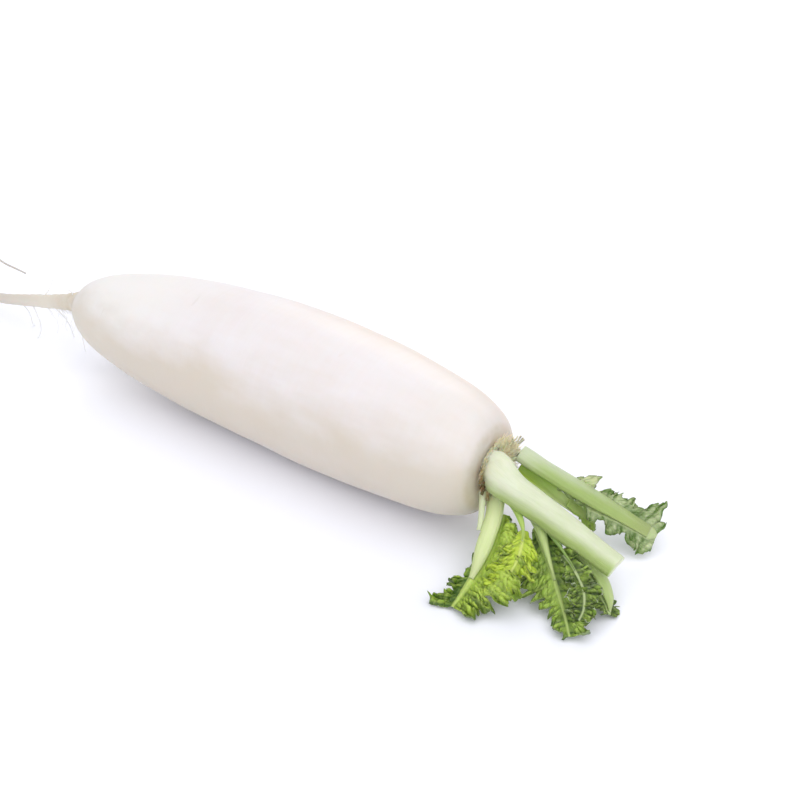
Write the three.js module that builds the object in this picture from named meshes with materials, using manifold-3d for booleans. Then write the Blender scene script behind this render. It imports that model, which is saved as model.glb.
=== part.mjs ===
// A white daikon radish lying on its side, with its taproot and its cut leaves.
// Units are millimetres, +X runs from the taproot to the crown and +Z is up.
// The origin is the middle of the small flat spot that the root rests on.

import * as THREE from 'three';
import Module from 'manifold-3d';

const wasm = await Module();
wasm.setup();

// ---- Driving dimensions ----------------------------------------------------

const ROOT_LENGTH = 290;
const ROOT_RADIUS = 40;
const WIDEST_FROM_TIP = 170;
const REST_DEPTH = 0.5;
const AXIS_HEIGHT = ROOT_RADIUS - REST_DEPTH;
const ROOT_BEND = -8;
const CROWN_RADIUS = 17;

const GAP = 0.3;
const BLADE_THICKNESS = 0.9;

const ROOT_SIDES = 40;
const ROOT_STEPS_PER_SPAN = 3;
const TAPROOT_SIDES = 10;
const TAPROOT_STEPS = 36;
const STALK_SIDES = 12;
const STALK_STEPS = 14;
const BLADE_STEP = 2.5;
const BLADE_COLUMNS = 5;

// Stations of the root, each [distance from the tip, radius].
const ROOT_PROFILE = [
  [0, 6], [3, 11], [13, 18.8], [35, 27], [73, 34], [122, 38.6],
  [WIDEST_FROM_TIP, ROOT_RADIUS], [222, 38], [262, 33.4], [281, 28], [288.5, 22.5],
  [ROOT_LENGTH, CROWN_RADIUS],
];

// Points of the taproot, each [x, y, z, radius], from inside the root to the whip's end.
const TAPROOT = [
  [-158, -7.2, 40, 7.2], [-170, -8, 38.6, 5.6], [-192, -7, 33.6, 4.6], [-217, -6, 26.5, 3.9],
  [-240, -5, 20, 3.4], [-258, -4.6, 15.6, 3], [-272, -4, 13.6, 2.5], [-284, -3.4, 15, 1.9],
  [-292, -2.4, 22, 1.4], [-293, -1.4, 31, 1.1], [-287, -0.6, 39, 0.9], [-276, 0, 42.6, 0.8],
  [-263, 0, 42.2, 0.7], [-251, 0, 39.8, 0.6], [-241, 0, 39.2, 0.55], [-231.6, 0, 38.6, 0.5],
];

// Rootlets, each [x along the root, angle round it in degrees, length, droop].
const ROOTLETS = [
  [-236, -70, 17, 0.7], [-222, -95, 20, 0.5], [-205, -60, 24, 0.8], [-186, -80, 26, 0.6],
  [-163, -48, 30, 0.5], [-212, 60, 14, 0.3], [-178, 110, 12, 0.4],
];
const ROOTLET_RADIUS = 0.75;

// The short stem on the crown, stations as [height, radius], how far it stands to the side of
// the root's axis, and the dry scales round it.
const CROWN_STATIONS = [[GAP, 13.5], [2.2, 12.6], [4.2, 9.4], [5, 4.8]];
const CROWN_SHIFT = 2.5;
const CROWN_SIDES = 20;
const SCALE_COUNT = 22;
const SCALE_THICKNESS = 0.9;
const SCALE_HALF_WIDTH = 2.7;
const SCALE_TAPER = 2.1;
const SCALE_INSET = 1.6;
const SCALE_STAGGER = 2.2;
const SCALE_STEPS = 3;
const SHORTEST_SCALE = 3.5;
const TUFT_ANGLE = 75;

// A stalk's section: how much of its thickness lies behind and inside its widest line.
const BACK_SHARE = 0.6;
const INNER_SHARE = 0.4;

// Bare rib's half-width past a stalk's cut end, and a blade's lowest height.
const BARE_RIB = 1;
const BLADE_FLOOR = BLADE_THICKNESS / 2 + 0.1;

// Every leaf follows a spine. `face` is the way the rounded back of its stalk looks, at the
// base and at the end. `stalk` gives widths and thicknesses along the spine and where the
// stalk stops. `blade` gives the sheet under the stalk: where it runs, and for each side the
// margin's width along it, the lobes, and how the side rises and curls.
const LEAVES = {
  broad: {
    spine: [[119.5, -13.2, 43], [130, -15.2, 41], [147, -13.4, 34], [169, -12.6, 25.5],
      [193, -14, 18.4]],
    face: [[0.3, -0.95, -0.1], [0.3, -0.45, 0.84]],
    stalk: {
      widths: [20.5, 17.4, 15, 13.6, 12.2], thicknesses: [4.6, 8.4, 8.4, 7.6, 6.4], end: 1,
      groove: 0.9,
    },
  },
  far: {
    spine: [[126, 8, 42], [141, 10.5, 36], [158, 17, 27], [173, 22.6, 19.5], [191.5, 27.8, 11]],
    face: [[0.1, 0.1, 1], [0.3, -0.3, 0.9]],
    stalk: {
      widths: [12, 12, 12, 12.6, 13], thicknesses: [7, 6, 5.2, 4, 2.8], end: 0.99, groove: 0.5,
    },
    blade: {
      from: 0.34, to: 1.01, lean: 0.3, ruffle: 0.8, waves: 9,
      left: {
        margin: [6, 7, 7.5, 9, 10, 9], rise: [1.1, 1.2, 0.8, 0.35, 0.3, 0.5], curl: 0.02,
        lobes: [[0.16, 9, 4], [0.46, 4, 6], [0.64, 3, 4], [0.86, 8, 4]],
      },
      right: {
        margin: [4, 5, 7, 8, 9, 8.5], rise: [-0.3, -0.5, -0.5, -0.5, -0.4, -0.5], curl: -0.03,
        lobes: [[0.38, 4, 4], [0.6, 4, 4.5], [0.86, 4, 6]],
      },
    },
  },
  small: {
    spine: [[128.5, 4.5, 37.5], [139.5, 7.2, 31.5], [149, 11, 23.5], [157, 16, 15.5], [162.5, 20.5, 9]],
    face: [[0.2, 0.6, -0.77], [0.1, 0.3, -0.95]],
    stalk: {
      widths: [7.5, 7, 6, 4.6, 3.4], thicknesses: [4, 3.6, 3.2, 2.8, 2.4], end: 0.94, groove: 1.5,
    },
    blade: {
      from: 0.55, to: 1, lean: 0.3, ruffle: 0.6, waves: 4,
      left: {
        margin: [3, 4, 5, 5], rise: [0.4, 0.3, 0.2, 0.2], curl: 0.05, lobes: [[0.7, 3, 5]],
      },
      right: {
        margin: [3, 3.5, 4, 4], rise: [0.4, 0.3, 0.2, 0.2], curl: 0.05, lobes: [[0.8, 3, 4]],
      },
    },
  },
  left: {
    spine: [[125.5, -11, 27], [130.7, -20.8, 23], [134.7, -33.6, 17.5], [137.6, -46.6, 10],
      [138, -56, 5.5], [138.6, -65.5, 3]],
    face: [[0, -0.35, 0.94], [-0.05, 0.1, 1]],
    stalk: {
      widths: [9, 8.6, 8.4, 8.6, 6, 3], thicknesses: [5.5, 5, 4.6, 4.4, 3, 2], end: 0.64, groove: 0.4,
    },
    blade: {
      from: 0.14, to: 1, lean: 0.35, ruffle: 1.7, waves: 9,
      left: {
        margin: [8, 19, 26, 26, 19, 12, 8], rise: [0.3, 0.4, 0.35, 0.25, 0.15, 0.05, 0], curl: 0.004,
        lobes: [[0.55, 4, 6], [0.74, 4, 5], [0.93, 5, 6]],
      },
      right: {
        margin: [4.4, 4.4, 4.4, 4.8, 7, 8, 6], rise: [0, 0, 0, 0.1, 0.25, 0.2, 0], curl: 0.01,
        lobes: [[0.66, 4, 4], [0.95, 6.5, 4.5]],
      },
    },
  },
  mid: {
    spine: [[126, -5, 25.5], [141, -8.2, 25.5], [151.5, -13.7, 22.5], [160.2, -21.1, 17.5],
      [170, -29.5, 11.5], [181, -39.5, 6.5], [191.5, -51, 3]],
    face: [[0, -0.3, 0.95], [-0.05, 0, 1]],
    stalk: {
      widths: [5, 5, 5.2, 5, 4, 3, 2.4], thicknesses: [4, 4, 4, 3.4, 2.4, 2, 2], end: 0.68,
      groove: 0.3,
    },
    blade: {
      from: 0.3, to: 1, lean: 0.4, ruffle: 1.4, waves: 9,
      left: {
        margin: [3, 7, 11, 12, 11, 9, 6], rise: [0.1, 0.3, 0.4, 0.4, 0.35, 0.2, 0.1], curl: 0.02,
        lobes: [[0.35, 5, 4], [0.52, 5, 4], [0.7, 5, 4.5], [0.9, 5, 5]],
      },
      right: {
        margin: [3, 7, 13, 13.5, 9, 5, 4], rise: [-0.5, -0.5, -0.4, -0.3, -0.1, 0, 0], curl: 0.01,
        lobes: [[0.4, 4, 4.5], [0.55, 5, 4.5], [0.7, 3, 4], [0.88, 3, 5]],
      },
    },
  },
  right: {
    spine: [[126, 2, 28], [140, 0, 25], [155, -5, 20.5], [169, -10.5, 16.5], [180.5, -13.4, 13],
      [189, -17.5, 10], [195, -22.5, 6.5], [199, -28, 3.6]],
    face: [[0.1, 0.1, 1], [0.5, 0.3, 0.8]],
    stalk: {
      widths: [9, 8, 8, 8, 8, 8, 6, 4], thicknesses: [5, 4.6, 4.2, 3.8, 3.4, 3, 2.6, 2], end: 0.97,
      groove: 0.6,
    },
    blade: {
      from: 0.4, to: 1, lean: 0.2, ruffle: 1.1, waves: 8,
      left: { margin: [4.4, 4.4, 4.4, 5, 5], rise: [0, 0, 0, 0, 0], curl: 0, lobes: [[0.9, 3, 4]] },
      right: {
        margin: [5, 9, 11, 10, 6], rise: [-0.3, -0.35, -0.3, -0.2, -0.1], curl: 0.015,
        lobes: [[0.4, 4, 4.5], [0.62, 4, 4.5], [0.85, 4, 4.5]],
      },
    },
  },
  inner: {
    spine: [[126.5, -9.5, 30.5], [138, -14.5, 28.5], [147.5, -22.5, 27], [153, -31, 25.5],
      [155.5, -38.5, 21.5], [155.5, -45.5, 16.5], [154, -52.5, 12]],
    face: [[0.1, -0.3, 0.95], [0.1, 0, 1]],
    stalk: {
      widths: [4, 3.6, 2.8, 2.2, 2, 2, 2], thicknesses: [3, 2.8, 2.2, 1.8, 1.6, 1.6, 1.6],
      end: 0.5, groove: 0.3,
    },
    blade: {
      from: 0.36, to: 1, lean: 0.5, ruffle: 1.3, waves: 6,
      left: {
        margin: [3, 6, 8, 8, 7, 5], rise: [-0.5, -0.35, -0.3, -0.3, -0.2, -0.1], curl: 0.02,
        lobes: [[0.25, 3, 4], [0.5, 4, 4], [0.8, 3, 4]],
      },
      right: {
        margin: [3, 6, 8, 9, 8, 5], rise: [0, 0.05, 0.05, 0, 0, 0], curl: 0.02,
        lobes: [[0.3, 3, 4], [0.6, 3, 4.5], [0.9, 3, 4]],
      },
    },
  },
  curl: {
    spine: [[127, -3, 31.5], [143, -8, 29], [157, -14.5, 23.5], [168, -20, 20.5], [178, -25.5, 17.5],
      [186, -31, 14], [190.5, -37.5, 9.5], [191.5, -44, 6]],
    face: [[0, -0.3, 0.95], [0.15, 0, 1]],
    stalk: {
      widths: [4, 3.6, 3, 2.4, 2, 2, 2, 2], thicknesses: [3, 2.8, 2.4, 2, 1.6, 1.6, 1.6, 1.6],
      end: 0.58, groove: 0.3,
    },
    blade: {
      from: 0.45, to: 0.98, lean: 0.25, ruffle: 1.2, waves: 6,
      left: {
        margin: [3, 5.5, 6.5, 6.5, 5, 3.5], rise: [-0.1, 0.2, 0.3, 0.3, 0.3, 0.2], curl: 0.03,
        lobes: [[0.3, 3, 4], [0.55, 3, 4], [0.85, 3, 4]],
      },
      right: {
        margin: [3, 6, 7.5, 7.5, 6, 5], rise: [0.2, 0.3, 0.3, 0.2, 0.1, 0], curl: 0.03,
        lobes: [[0.25, 3, 4], [0.55, 4, 4], [0.85, 3, 4]],
      },
    },
  },
  thin: {
    spine: [[121.2, -16.2, 31], [123.4, -19.8, 28], [126.4, -25, 22.5], [128.6, -30.5, 17.5]],
    face: [[-0.3, -0.5, 0.8], [-0.3, -0.4, 0.85]],
    stalk: {
      widths: [4.2, 3.4, 3, 2.4], thicknesses: [3, 2.6, 2.2, 1.8], end: 1, groove: 0.3,
    },
  },
};

// ---- Small helpers ---------------------------------------------------------

const vec = (x, y, z) => new THREE.Vector3(x, y, z);

function spline(points) {
  return new THREE.CatmullRomCurve3(points, false, 'catmullrom', 0.5);
}

// A Catmull-Rom curve through numbers: its value at t from 0 to 1.
function eased(values, t) {
  const curve = spline(values.map((value) => vec(value, 0, 0)));
  return curve.getPoint(THREE.MathUtils.clamp(t, 0, 1)).x;
}

function solid(points, faces) {
  const vertProperties = new Float32Array(points.flatMap((p) => [p.x, p.y, p.z]));
  const mesh = (triVerts) => new wasm.Mesh({ numProp: 3, vertProperties, triVerts });
  const made = new wasm.Manifold(mesh(new Uint32Array(faces.flat())));
  if (made.volume() > 0) {
    return made;
  }
  const turned = faces.map(([a, b, c]) => [a, c, b]);
  return new wasm.Manifold(mesh(new Uint32Array(turned.flat())));
}

// A closed tube through rings of points, all with as many points, with a fan at each end.
function tube(rings) {
  const sides = rings[0].length;
  const points = rings.flat();
  const faces = [];
  for (let i = 0; i < rings.length - 1; i++) {
    for (let j = 0; j < sides; j++) {
      const a = i * sides + j;
      const b = i * sides + ((j + 1) % sides);
      faces.push([a, b, b + sides], [a, b + sides, a + sides]);
    }
  }
  const last = (rings.length - 1) * sides;
  for (const [start, flip] of [[0, true], [last, false]]) {
    const centre = points.length;
    const middle = vec(0, 0, 0);
    for (let j = 0; j < sides; j++) {
      middle.addScaledVector(points[start + j], 1 / sides);
    }
    points.push(middle);
    for (let j = 0; j < sides; j++) {
      const a = start + j;
      const b = start + ((j + 1) % sides);
      faces.push(flip ? [centre, b, a] : [centre, a, b]);
    }
  }
  return solid(points, faces);
}

// The point numbers round the edge of a grid, in order.
function gridRim(rows, columns) {
  const rim = [];
  for (let j = 0; j < columns - 1; j++) {
    rim.push(j);
  }
  for (let i = 0; i < rows - 1; i++) {
    rim.push(i * columns + columns - 1);
  }
  for (let j = columns - 1; j > 0; j--) {
    rim.push((rows - 1) * columns + j);
  }
  for (let i = rows - 1; i > 0; i--) {
    rim.push(i * columns);
  }
  return rim;
}

// A closed thin sheet round the grid middle[row][column], its two faces split alike.
function sheet(middle, thickness) {
  const rows = middle.length;
  const columns = middle[0].length;
  const at = (i, j) => middle[THREE.MathUtils.clamp(i, 0, rows - 1)][
    THREE.MathUtils.clamp(j, 0, columns - 1)];
  const top = [];
  const bottom = [];
  for (let i = 0; i < rows; i++) {
    for (let j = 0; j < columns; j++) {
      const along = at(i + 1, j).clone().sub(at(i - 1, j));
      const across = at(i, j + 1).clone().sub(at(i, j - 1));
      const normal = along.cross(across).normalize().multiplyScalar(thickness / 2);
      top.push(middle[i][j].clone().add(normal));
      bottom.push(middle[i][j].clone().sub(normal));
    }
  }
  const below = rows * columns;
  const faces = [];
  for (let i = 0; i < rows - 1; i++) {
    for (let j = 0; j < columns - 1; j++) {
      const a = i * columns + j;
      const b = a + 1;
      const c = a + columns + 1;
      const d = a + columns;
      const split = (i + j) % 2 ? [[a, b, c], [a, c, d]] : [[a, b, d], [b, c, d]];
      for (const [p, q, r] of split) {
        faces.push([p, q, r], [p + below, r + below, q + below]);
      }
    }
  }
  const rim = gridRim(rows, columns);
  for (let k = 0; k < rim.length; k++) {
    const a = rim[k];
    const b = rim[(k + 1) % rim.length];
    faces.push([b, a, a + below], [b, a + below, b + below]);
  }
  return solid(top.concat(bottom), faces);
}

function largest(manifold) {
  const bodies = manifold.decompose();
  return bodies.reduce((best, body) => (body.volume() > best.volume() ? body : best));
}

function meshOf(manifold, name, colour, roughness) {
  const mesh = manifold.getMesh();
  const geometry = new THREE.BufferGeometry();
  geometry.setAttribute('position', new THREE.BufferAttribute(mesh.vertProperties, 3));
  geometry.setIndex(new THREE.BufferAttribute(mesh.triVerts, 1));
  geometry.computeVertexNormals();
  const material = new THREE.MeshStandardMaterial({ color: colour, roughness, metalness: 0 });
  const placed = new THREE.Mesh(geometry, material);
  placed.name = name;
  return placed;
}

// ---- Root ------------------------------------------------------------------

const tipX = -WIDEST_FROM_TIP;
const crownX = tipX + ROOT_LENGTH;

function rootY(x) {
  const s = (2 * (x - tipX)) / ROOT_LENGTH - 1;
  return ROOT_BEND * s * s;
}

function rootBody(grow = 0) {
  const stretched = ROOT_PROFILE.map(([x, radius]) => vec(x + grow, radius + grow, 0));
  const profile = spline(stretched);
  const steps = (ROOT_PROFILE.length - 1) * ROOT_STEPS_PER_SPAN;
  const rings = [];
  for (let i = 0; i <= steps; i++) {
    const station = profile.getPoint(i / steps);
    const x = tipX + station.x;
    const ring = [];
    for (let j = 0; j < ROOT_SIDES; j++) {
      const angle = (2 * Math.PI * j) / ROOT_SIDES;
      const y = rootY(x) + station.y * Math.cos(angle);
      const z = Math.max(-grow, AXIS_HEIGHT + station.y * Math.sin(angle));
      ring.push(vec(x, y, z));
    }
    rings.push(ring);
  }
  return tube(rings);
}

// A round tube that thins along a curve; radii are eased along the same points.
function taperedTube(points, radii, sides, steps) {
  const curve = spline(points);
  const rings = [];
  for (let i = 0; i <= steps; i++) {
    const t = i / steps;
    const centre = curve.getPoint(t);
    const tangent = curve.getTangent(t);
    const side = vec(0, 1, 0).cross(tangent).normalize();
    const up = tangent.clone().cross(side);
    const radius = eased(radii, t);
    const ring = [];
    for (let j = 0; j < sides; j++) {
      const angle = (2 * Math.PI * j) / sides;
      ring.push(centre.clone()
        .addScaledVector(side, radius * Math.cos(angle))
        .addScaledVector(up, radius * Math.sin(angle)));
    }
    rings.push(ring);
  }
  return tube(rings);
}

function taproot() {
  const points = TAPROOT.map(([x, y, z]) => vec(x, y, z));
  const radii = TAPROOT.map((point) => point[3]);
  return taperedTube(points, radii, TAPROOT_SIDES, TAPROOT_STEPS);
}

// The taproot's or the root's middle and radius at x.
function middleAt(x) {
  if (x > tipX) {
    const profile = spline(ROOT_PROFILE.map(([at, radius]) => vec(at, radius, 0)));
    const found = profile.getPoints(400).find((point) => tipX + point.x >= x);
    return { centre: vec(x, rootY(x), AXIS_HEIGHT), radius: found.y };
  }
  const after = TAPROOT.findIndex((point) => point[0] <= x);
  const [near, far] = [TAPROOT[after - 1], TAPROOT[after]];
  const share = (x - near[0]) / (far[0] - near[0]);
  const mixed = near.map((value, k) => THREE.MathUtils.lerp(value, far[k], share));
  return { centre: vec(x, mixed[1], mixed[2]), radius: mixed[3] };
}

function rootlet([x, degrees, length, droop]) {
  const { centre, radius } = middleAt(x);
  const angle = THREE.MathUtils.degToRad(degrees);
  const out = vec(0.25, Math.cos(angle), Math.sin(angle)).normalize();
  const start = centre.clone().addScaledVector(out, radius * 0.5);
  const points = [0, 0.35, 0.7, 1].map((share) => {
    const point = start.clone().addScaledVector(out, length * share);
    point.z -= droop * length * share * share * 0.5;
    point.x += 4 * Math.sin(4 * share);
    point.z = Math.max(point.z, 1.2);
    return point;
  });
  const radii = [1.3, 1, 0.85, 0.7].map((scale) => scale * ROOTLET_RADIUS);
  return taperedTube(points, radii, 5, 8);
}

function buildRoot() {
  let root = rootBody().add(taproot());
  for (const row of ROOTLETS) {
    root = root.add(rootlet(row));
  }
  return root;
}

// ---- Leaves ----------------------------------------------------------------

// The spine's place and its three directions at t: along it, to its left and out of its back.
function frameAt(leaf, t) {
  const curve = spline(leaf.spine.map(([x, y, z]) => vec(x, y, z)));
  const inside = THREE.MathUtils.clamp(t, 0, 1);
  const tangent = curve.getTangent(inside);
  const point = curve.getPoint(inside).addScaledVector(tangent, (t - inside) * curve.getLength());
  const back = vec(...leaf.face[0]).lerp(vec(...leaf.face[1]), inside);
  const left = back.cross(tangent).normalize();
  const out = tangent.clone().cross(left);
  return { point, tangent, left, out };
}

// One ring of a stalk: a rounded back and a grooved inner side.
function stalkRing(leaf, t, grow) {
  const { widths, thicknesses, groove } = leaf.stalk;
  const { point, left, out } = frameAt(leaf, t);
  const width = eased(widths, t) + 2 * grow;
  const thickness = eased(thicknesses, t) + 2 * grow;
  const ring = [];
  for (let j = 0; j < STALK_SIDES; j++) {
    const angle = (2 * Math.PI * j) / STALK_SIDES;
    const sine = Math.sin(angle);
    const hollow = grow > 0 ? 0 : groove;
    const inner = INNER_SHARE * sine * (1 - hollow * sine * sine);
    const rise = sine > 0 ? BACK_SHARE * sine : inner;
    ring.push(point.clone()
      .addScaledVector(left, (width / 2) * Math.cos(angle))
      .addScaledVector(out, thickness * rise));
  }
  return ring;
}

function stalkSolid(leaf, grow = 0) {
  const rings = [];
  const extra = grow / 60;
  for (let i = 0; i <= STALK_STEPS; i++) {
    const t = -extra + ((leaf.stalk.end + 2 * extra) * i) / STALK_STEPS;
    rings.push(stalkRing(leaf, t, grow));
  }
  return tube(rings);
}

// How far one side of a blade reaches at share s along it.
function reach(side, s, length) {
  let lobe = 0;
  for (const [middle, size, halfWidth] of side.lobes) {
    const offset = ((s - middle) * length) / halfWidth;
    const bump = Math.max(0, 1 - offset * offset);
    lobe = Math.max(lobe, size * Math.sqrt(bump));
  }
  return eased(side.margin, s) + lobe;
}

// A blade's middle surface: s runs along it, a from 0 at the rib to 1 at the edge.
function bladePoint(leaf, sideName, s, a, length, grow) {
  const { blade, stalk } = leaf;
  const side = blade[sideName];
  const sign = sideName === 'left' ? 1 : -1;
  const t = THREE.MathUtils.lerp(blade.from, blade.to, s);
  const { point, tangent, left, out } = frameAt(leaf, t);
  const rib = t < stalk.end ? eased(stalk.widths, t) / 2 : BARE_RIB;
  const inner = INNER_SHARE * eased(stalk.thicknesses, Math.min(t, stalk.end));
  const drop = inner + GAP + BLADE_THICKNESS / 2;
  const distance = a * (reach(side, s, length) + grow);
  const past = Math.max(distance - rib, 0);
  const curl = side.curl + 1e-6;
  const start = eased(side.rise, s);
  const turned = start + curl * past;
  const lateral = Math.min(distance, rib) + (Math.sin(turned) - Math.sin(start)) / curl;
  const up = (Math.cos(start) - Math.cos(turned)) / curl;
  const phase = 2 * Math.PI * blade.waves * s;
  const ruffle = blade.ruffle * a * a * Math.sin(phase + 2.5 * a + (sign > 0 ? 0 : 1.7));
  const placed = point.clone()
    .addScaledVector(left, sign * lateral)
    .addScaledVector(tangent, blade.lean * past)
    .addScaledVector(out, up - drop + ruffle);
  placed.z = Math.max(placed.z, BLADE_FLOOR);
  return placed;
}

function bladeSolid(leaf, grow = 0) {
  const { blade } = leaf;
  const length = (blade.to - blade.from) * spline(leaf.spine.map((p) => vec(...p))).getLength();
  const rows = Math.round(length / BLADE_STEP);
  const middle = [];
  for (let i = 0; i <= rows; i++) {
    const row = [];
    for (let j = -BLADE_COLUMNS; j <= BLADE_COLUMNS; j++) {
      const sideName = j < 0 ? 'right' : 'left';
      const a = Math.abs(j) / BLADE_COLUMNS;
      row.push(bladePoint(leaf, sideName, i / rows, a, length, grow));
    }
    middle.push(row);
  }
  return sheet(middle, BLADE_THICKNESS + 2 * grow);
}

// ---- Crown -----------------------------------------------------------------

function crownDome() {
  const rings = CROWN_STATIONS.map(([height, radius]) => {
    const ring = [];
    for (let j = 0; j < CROWN_SIDES; j++) {
      const angle = (2 * Math.PI * j) / CROWN_SIDES;
      const y = rootY(crownX) + CROWN_SHIFT + radius * Math.cos(angle);
      ring.push(vec(crownX + height, y, AXIS_HEIGHT + radius * Math.sin(angle)));
    }
    return ring;
  });
  return tube(rings);
}

// A repeatable random number from 0 to 1.
function random(index, draw) {
  const value = Math.sin((index + 1) * 12.9898 + draw * 78.233) * 43758.5453;
  return value - Math.floor(value);
}

// A dry leaf-base remnant at the rim, leaning out and forward, longest in the tuft on top.
function scale(index) {
  const angle = (2 * Math.PI * (index + 0.6 * random(index, 1))) / SCALE_COUNT;
  const radial = vec(0, Math.cos(angle), Math.sin(angle));
  const round = vec(0, -Math.sin(angle), Math.cos(angle));
  const tuft = Math.max(0, Math.cos(angle - THREE.MathUtils.degToRad(TUFT_ANGLE))) ** 4;
  const ring = CROWN_STATIONS[0][1] - SCALE_INSET - SCALE_STAGGER * (index % 2);
  const centre = vec(crownX + 1, rootY(crownX) + CROWN_SHIFT, AXIS_HEIGHT);
  const start = centre.addScaledVector(radial, ring);
  const length = SHORTEST_SCALE + 3 * random(index, 2) + tuft;
  const lean = 0.3 + 0.5 * random(index, 3) + 0.5 * tuft;
  const middle = [];
  for (let i = 0; i <= SCALE_STEPS; i++) {
    const share = i / SCALE_STEPS;
    const tapered = SCALE_HALF_WIDTH - SCALE_TAPER * share * share;
    const halfWidth = tapered * (0.8 + 0.4 * random(index, 4));
    const row = [];
    for (let j = -1; j <= 1; j++) {
      row.push(start.clone()
        .addScaledVector(vec(1, 0, 0), length * share)
        .addScaledVector(radial, lean * length * share * share - 0.4 * j * j)
        .addScaledVector(round, halfWidth * j + 1.2 * share * (random(index, 5) - 0.5)));
    }
    middle.push(row);
  }
  return sheet(middle, SCALE_THICKNESS);
}

function buildCrown(cutters) {
  let crown = crownDome();
  for (let i = 0; i < SCALE_COUNT; i++) {
    crown = crown.add(scale(i));
  }
  for (const cutter of cutters) {
    crown = crown.subtract(cutter);
  }
  return largest(crown);
}

// ---- Assembly --------------------------------------------------------------

const COLOURS = {
  root: 0xf4efe6, crown: 0xb89a62, broad: 0xe3ead0, far: 0xbfd193, small: 0xcfdca6,
  left: 0xd3e0ab, mid: 0xcbdc9c, right: 0xc9d6a0, inner: 0xc3d48a, curl: 0xaec47c,
  thin: 0xe0e6c6,
};
const BLADE_COLOURS = {
  far: 0xa6bf6a, small: 0x6f8f2e, left: 0x8fb040, mid: 0x6d8f34, right: 0x66862f,
  inner: 0xa9c43c, curl: 0x5c7c2c,
};
const NODE_NAMES = {
  broad: 'stalk_broad', thin: 'stalk_thin', far: 'leaf_far_stalk', small: 'leaf_small_stalk',
  left: 'leaf_left_stalk', mid: 'leaf_mid_stalk', right: 'leaf_right_stalk',
  inner: 'leaf_inner_stalk', curl: 'leaf_curl_stalk',
};

const group = new THREE.Group();
const rootSolid = buildRoot();
group.add(meshOf(rootSolid, 'root', COLOURS.root, 0.5));

const cutters = [rootBody(GAP)];
const keys = Object.keys(LEAVES);
for (const key of keys) {
  let stalk = stalkSolid(LEAVES[key]);
  for (const cutter of cutters) {
    stalk = stalk.subtract(cutter);
  }
  group.add(meshOf(largest(stalk), NODE_NAMES[key], COLOURS[key], 0.5));
  cutters.push(stalkSolid(LEAVES[key], GAP));
}
group.add(meshOf(buildCrown(cutters), 'crown', COLOURS.crown, 0.9));

for (const key of keys.filter((name) => LEAVES[name].blade)) {
  let blade = bladeSolid(LEAVES[key]);
  for (const cutter of cutters) {
    blade = blade.subtract(cutter);
  }
  group.add(meshOf(largest(blade), `leaf_${key}_blade`, BLADE_COLOURS[key], 0.6));
  cutters.push(bladeSolid(LEAVES[key], GAP));
}

export default group;
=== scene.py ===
"""A white daikon radish lying on its side, with its taproot, dry crown and cut leaves.

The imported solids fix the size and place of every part.  This script dresses them: a fine
skin over the root, hair roots round the taproot, dry scales and fibres on the crown, ribbed
stalks and thin crinkled blades.  Lengths are millimetres in the frame of the part, and
shaders work in metres: +X runs from the taproot to the crown, +Z is up, and the root rests at
the origin.
"""

from __future__ import annotations

import logging
import math
from collections.abc import Callable, Sequence
from dataclasses import dataclass
from enum import Enum

import bpy
import numpy as np
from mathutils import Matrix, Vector

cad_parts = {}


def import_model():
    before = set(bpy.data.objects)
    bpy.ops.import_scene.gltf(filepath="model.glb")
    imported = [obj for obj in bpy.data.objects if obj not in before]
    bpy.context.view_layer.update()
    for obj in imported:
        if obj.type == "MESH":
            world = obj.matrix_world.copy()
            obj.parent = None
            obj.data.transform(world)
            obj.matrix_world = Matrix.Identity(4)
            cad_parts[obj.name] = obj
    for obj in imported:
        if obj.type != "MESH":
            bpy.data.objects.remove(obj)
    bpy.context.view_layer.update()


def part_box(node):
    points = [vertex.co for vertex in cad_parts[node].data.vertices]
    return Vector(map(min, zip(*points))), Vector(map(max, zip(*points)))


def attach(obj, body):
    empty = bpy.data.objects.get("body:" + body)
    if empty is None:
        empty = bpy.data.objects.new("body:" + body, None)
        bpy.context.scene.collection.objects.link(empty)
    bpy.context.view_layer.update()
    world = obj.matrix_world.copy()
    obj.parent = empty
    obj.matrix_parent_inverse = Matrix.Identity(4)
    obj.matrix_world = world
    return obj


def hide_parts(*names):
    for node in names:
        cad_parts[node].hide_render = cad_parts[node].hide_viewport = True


LOG = logging.getLogger("daikon")
BODY = "root"
MM = 0.001
TAU = 2.0 * math.pi
FORWARD = np.array([1.0, 0.0, 0.0])

Array = np.ndarray
Row = tuple[float, ...]
Table = tuple[Row, ...]
Colour = tuple[float, float, float]
Marks = dict[str, Array]


class Slot(Enum):
    """The part's material slots."""

    SKIN = "root_skin"
    SCALE = "crown_scale"
    PALE_STALK = "pale_stalk"
    LEAF_STALK = "leaf_stalk"
    BLADE = "leaf_blade"


# ---- Curves ----


def curve(values: Sequence, t: Array) -> Array:
    """Look up a Catmull-Rom curve through a table, which goes on straight past its ends.

    On the span from b to c, with a before and d after it, and u from 0 to 1, the value is
    half of 2b + (c - a)u + (2a - 5b + 4c - d)u^2 + (3b - a - 3c + d)u^3.

    Args:
        values: One number or one row for each control point.
        t: Places along, 0 at the first point and 1 at the last.

    Returns:
        One number or row for each place.
    """
    table = np.asarray(values, float)
    table = np.concatenate([2 * table[:1] - table[1:2], table, 2 * table[-1:] - table[-2:-1]])
    spans = len(table) - 3
    place = np.clip(np.asarray(t, float), 0.0, 1.0) * spans
    first = np.minimum(place.astype(int), spans - 1)
    u = (place - first).reshape(place.shape + (1,) * (table.ndim - 1))
    a, b, c, d = (table[first + k] for k in range(4))
    square, cubic = 2 * a - 5 * b + 4 * c - d, 3 * b - a - 3 * c + d
    return 0.5 * (2 * b + (c - a) * u + square * u**2 + cubic * u**3)


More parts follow.
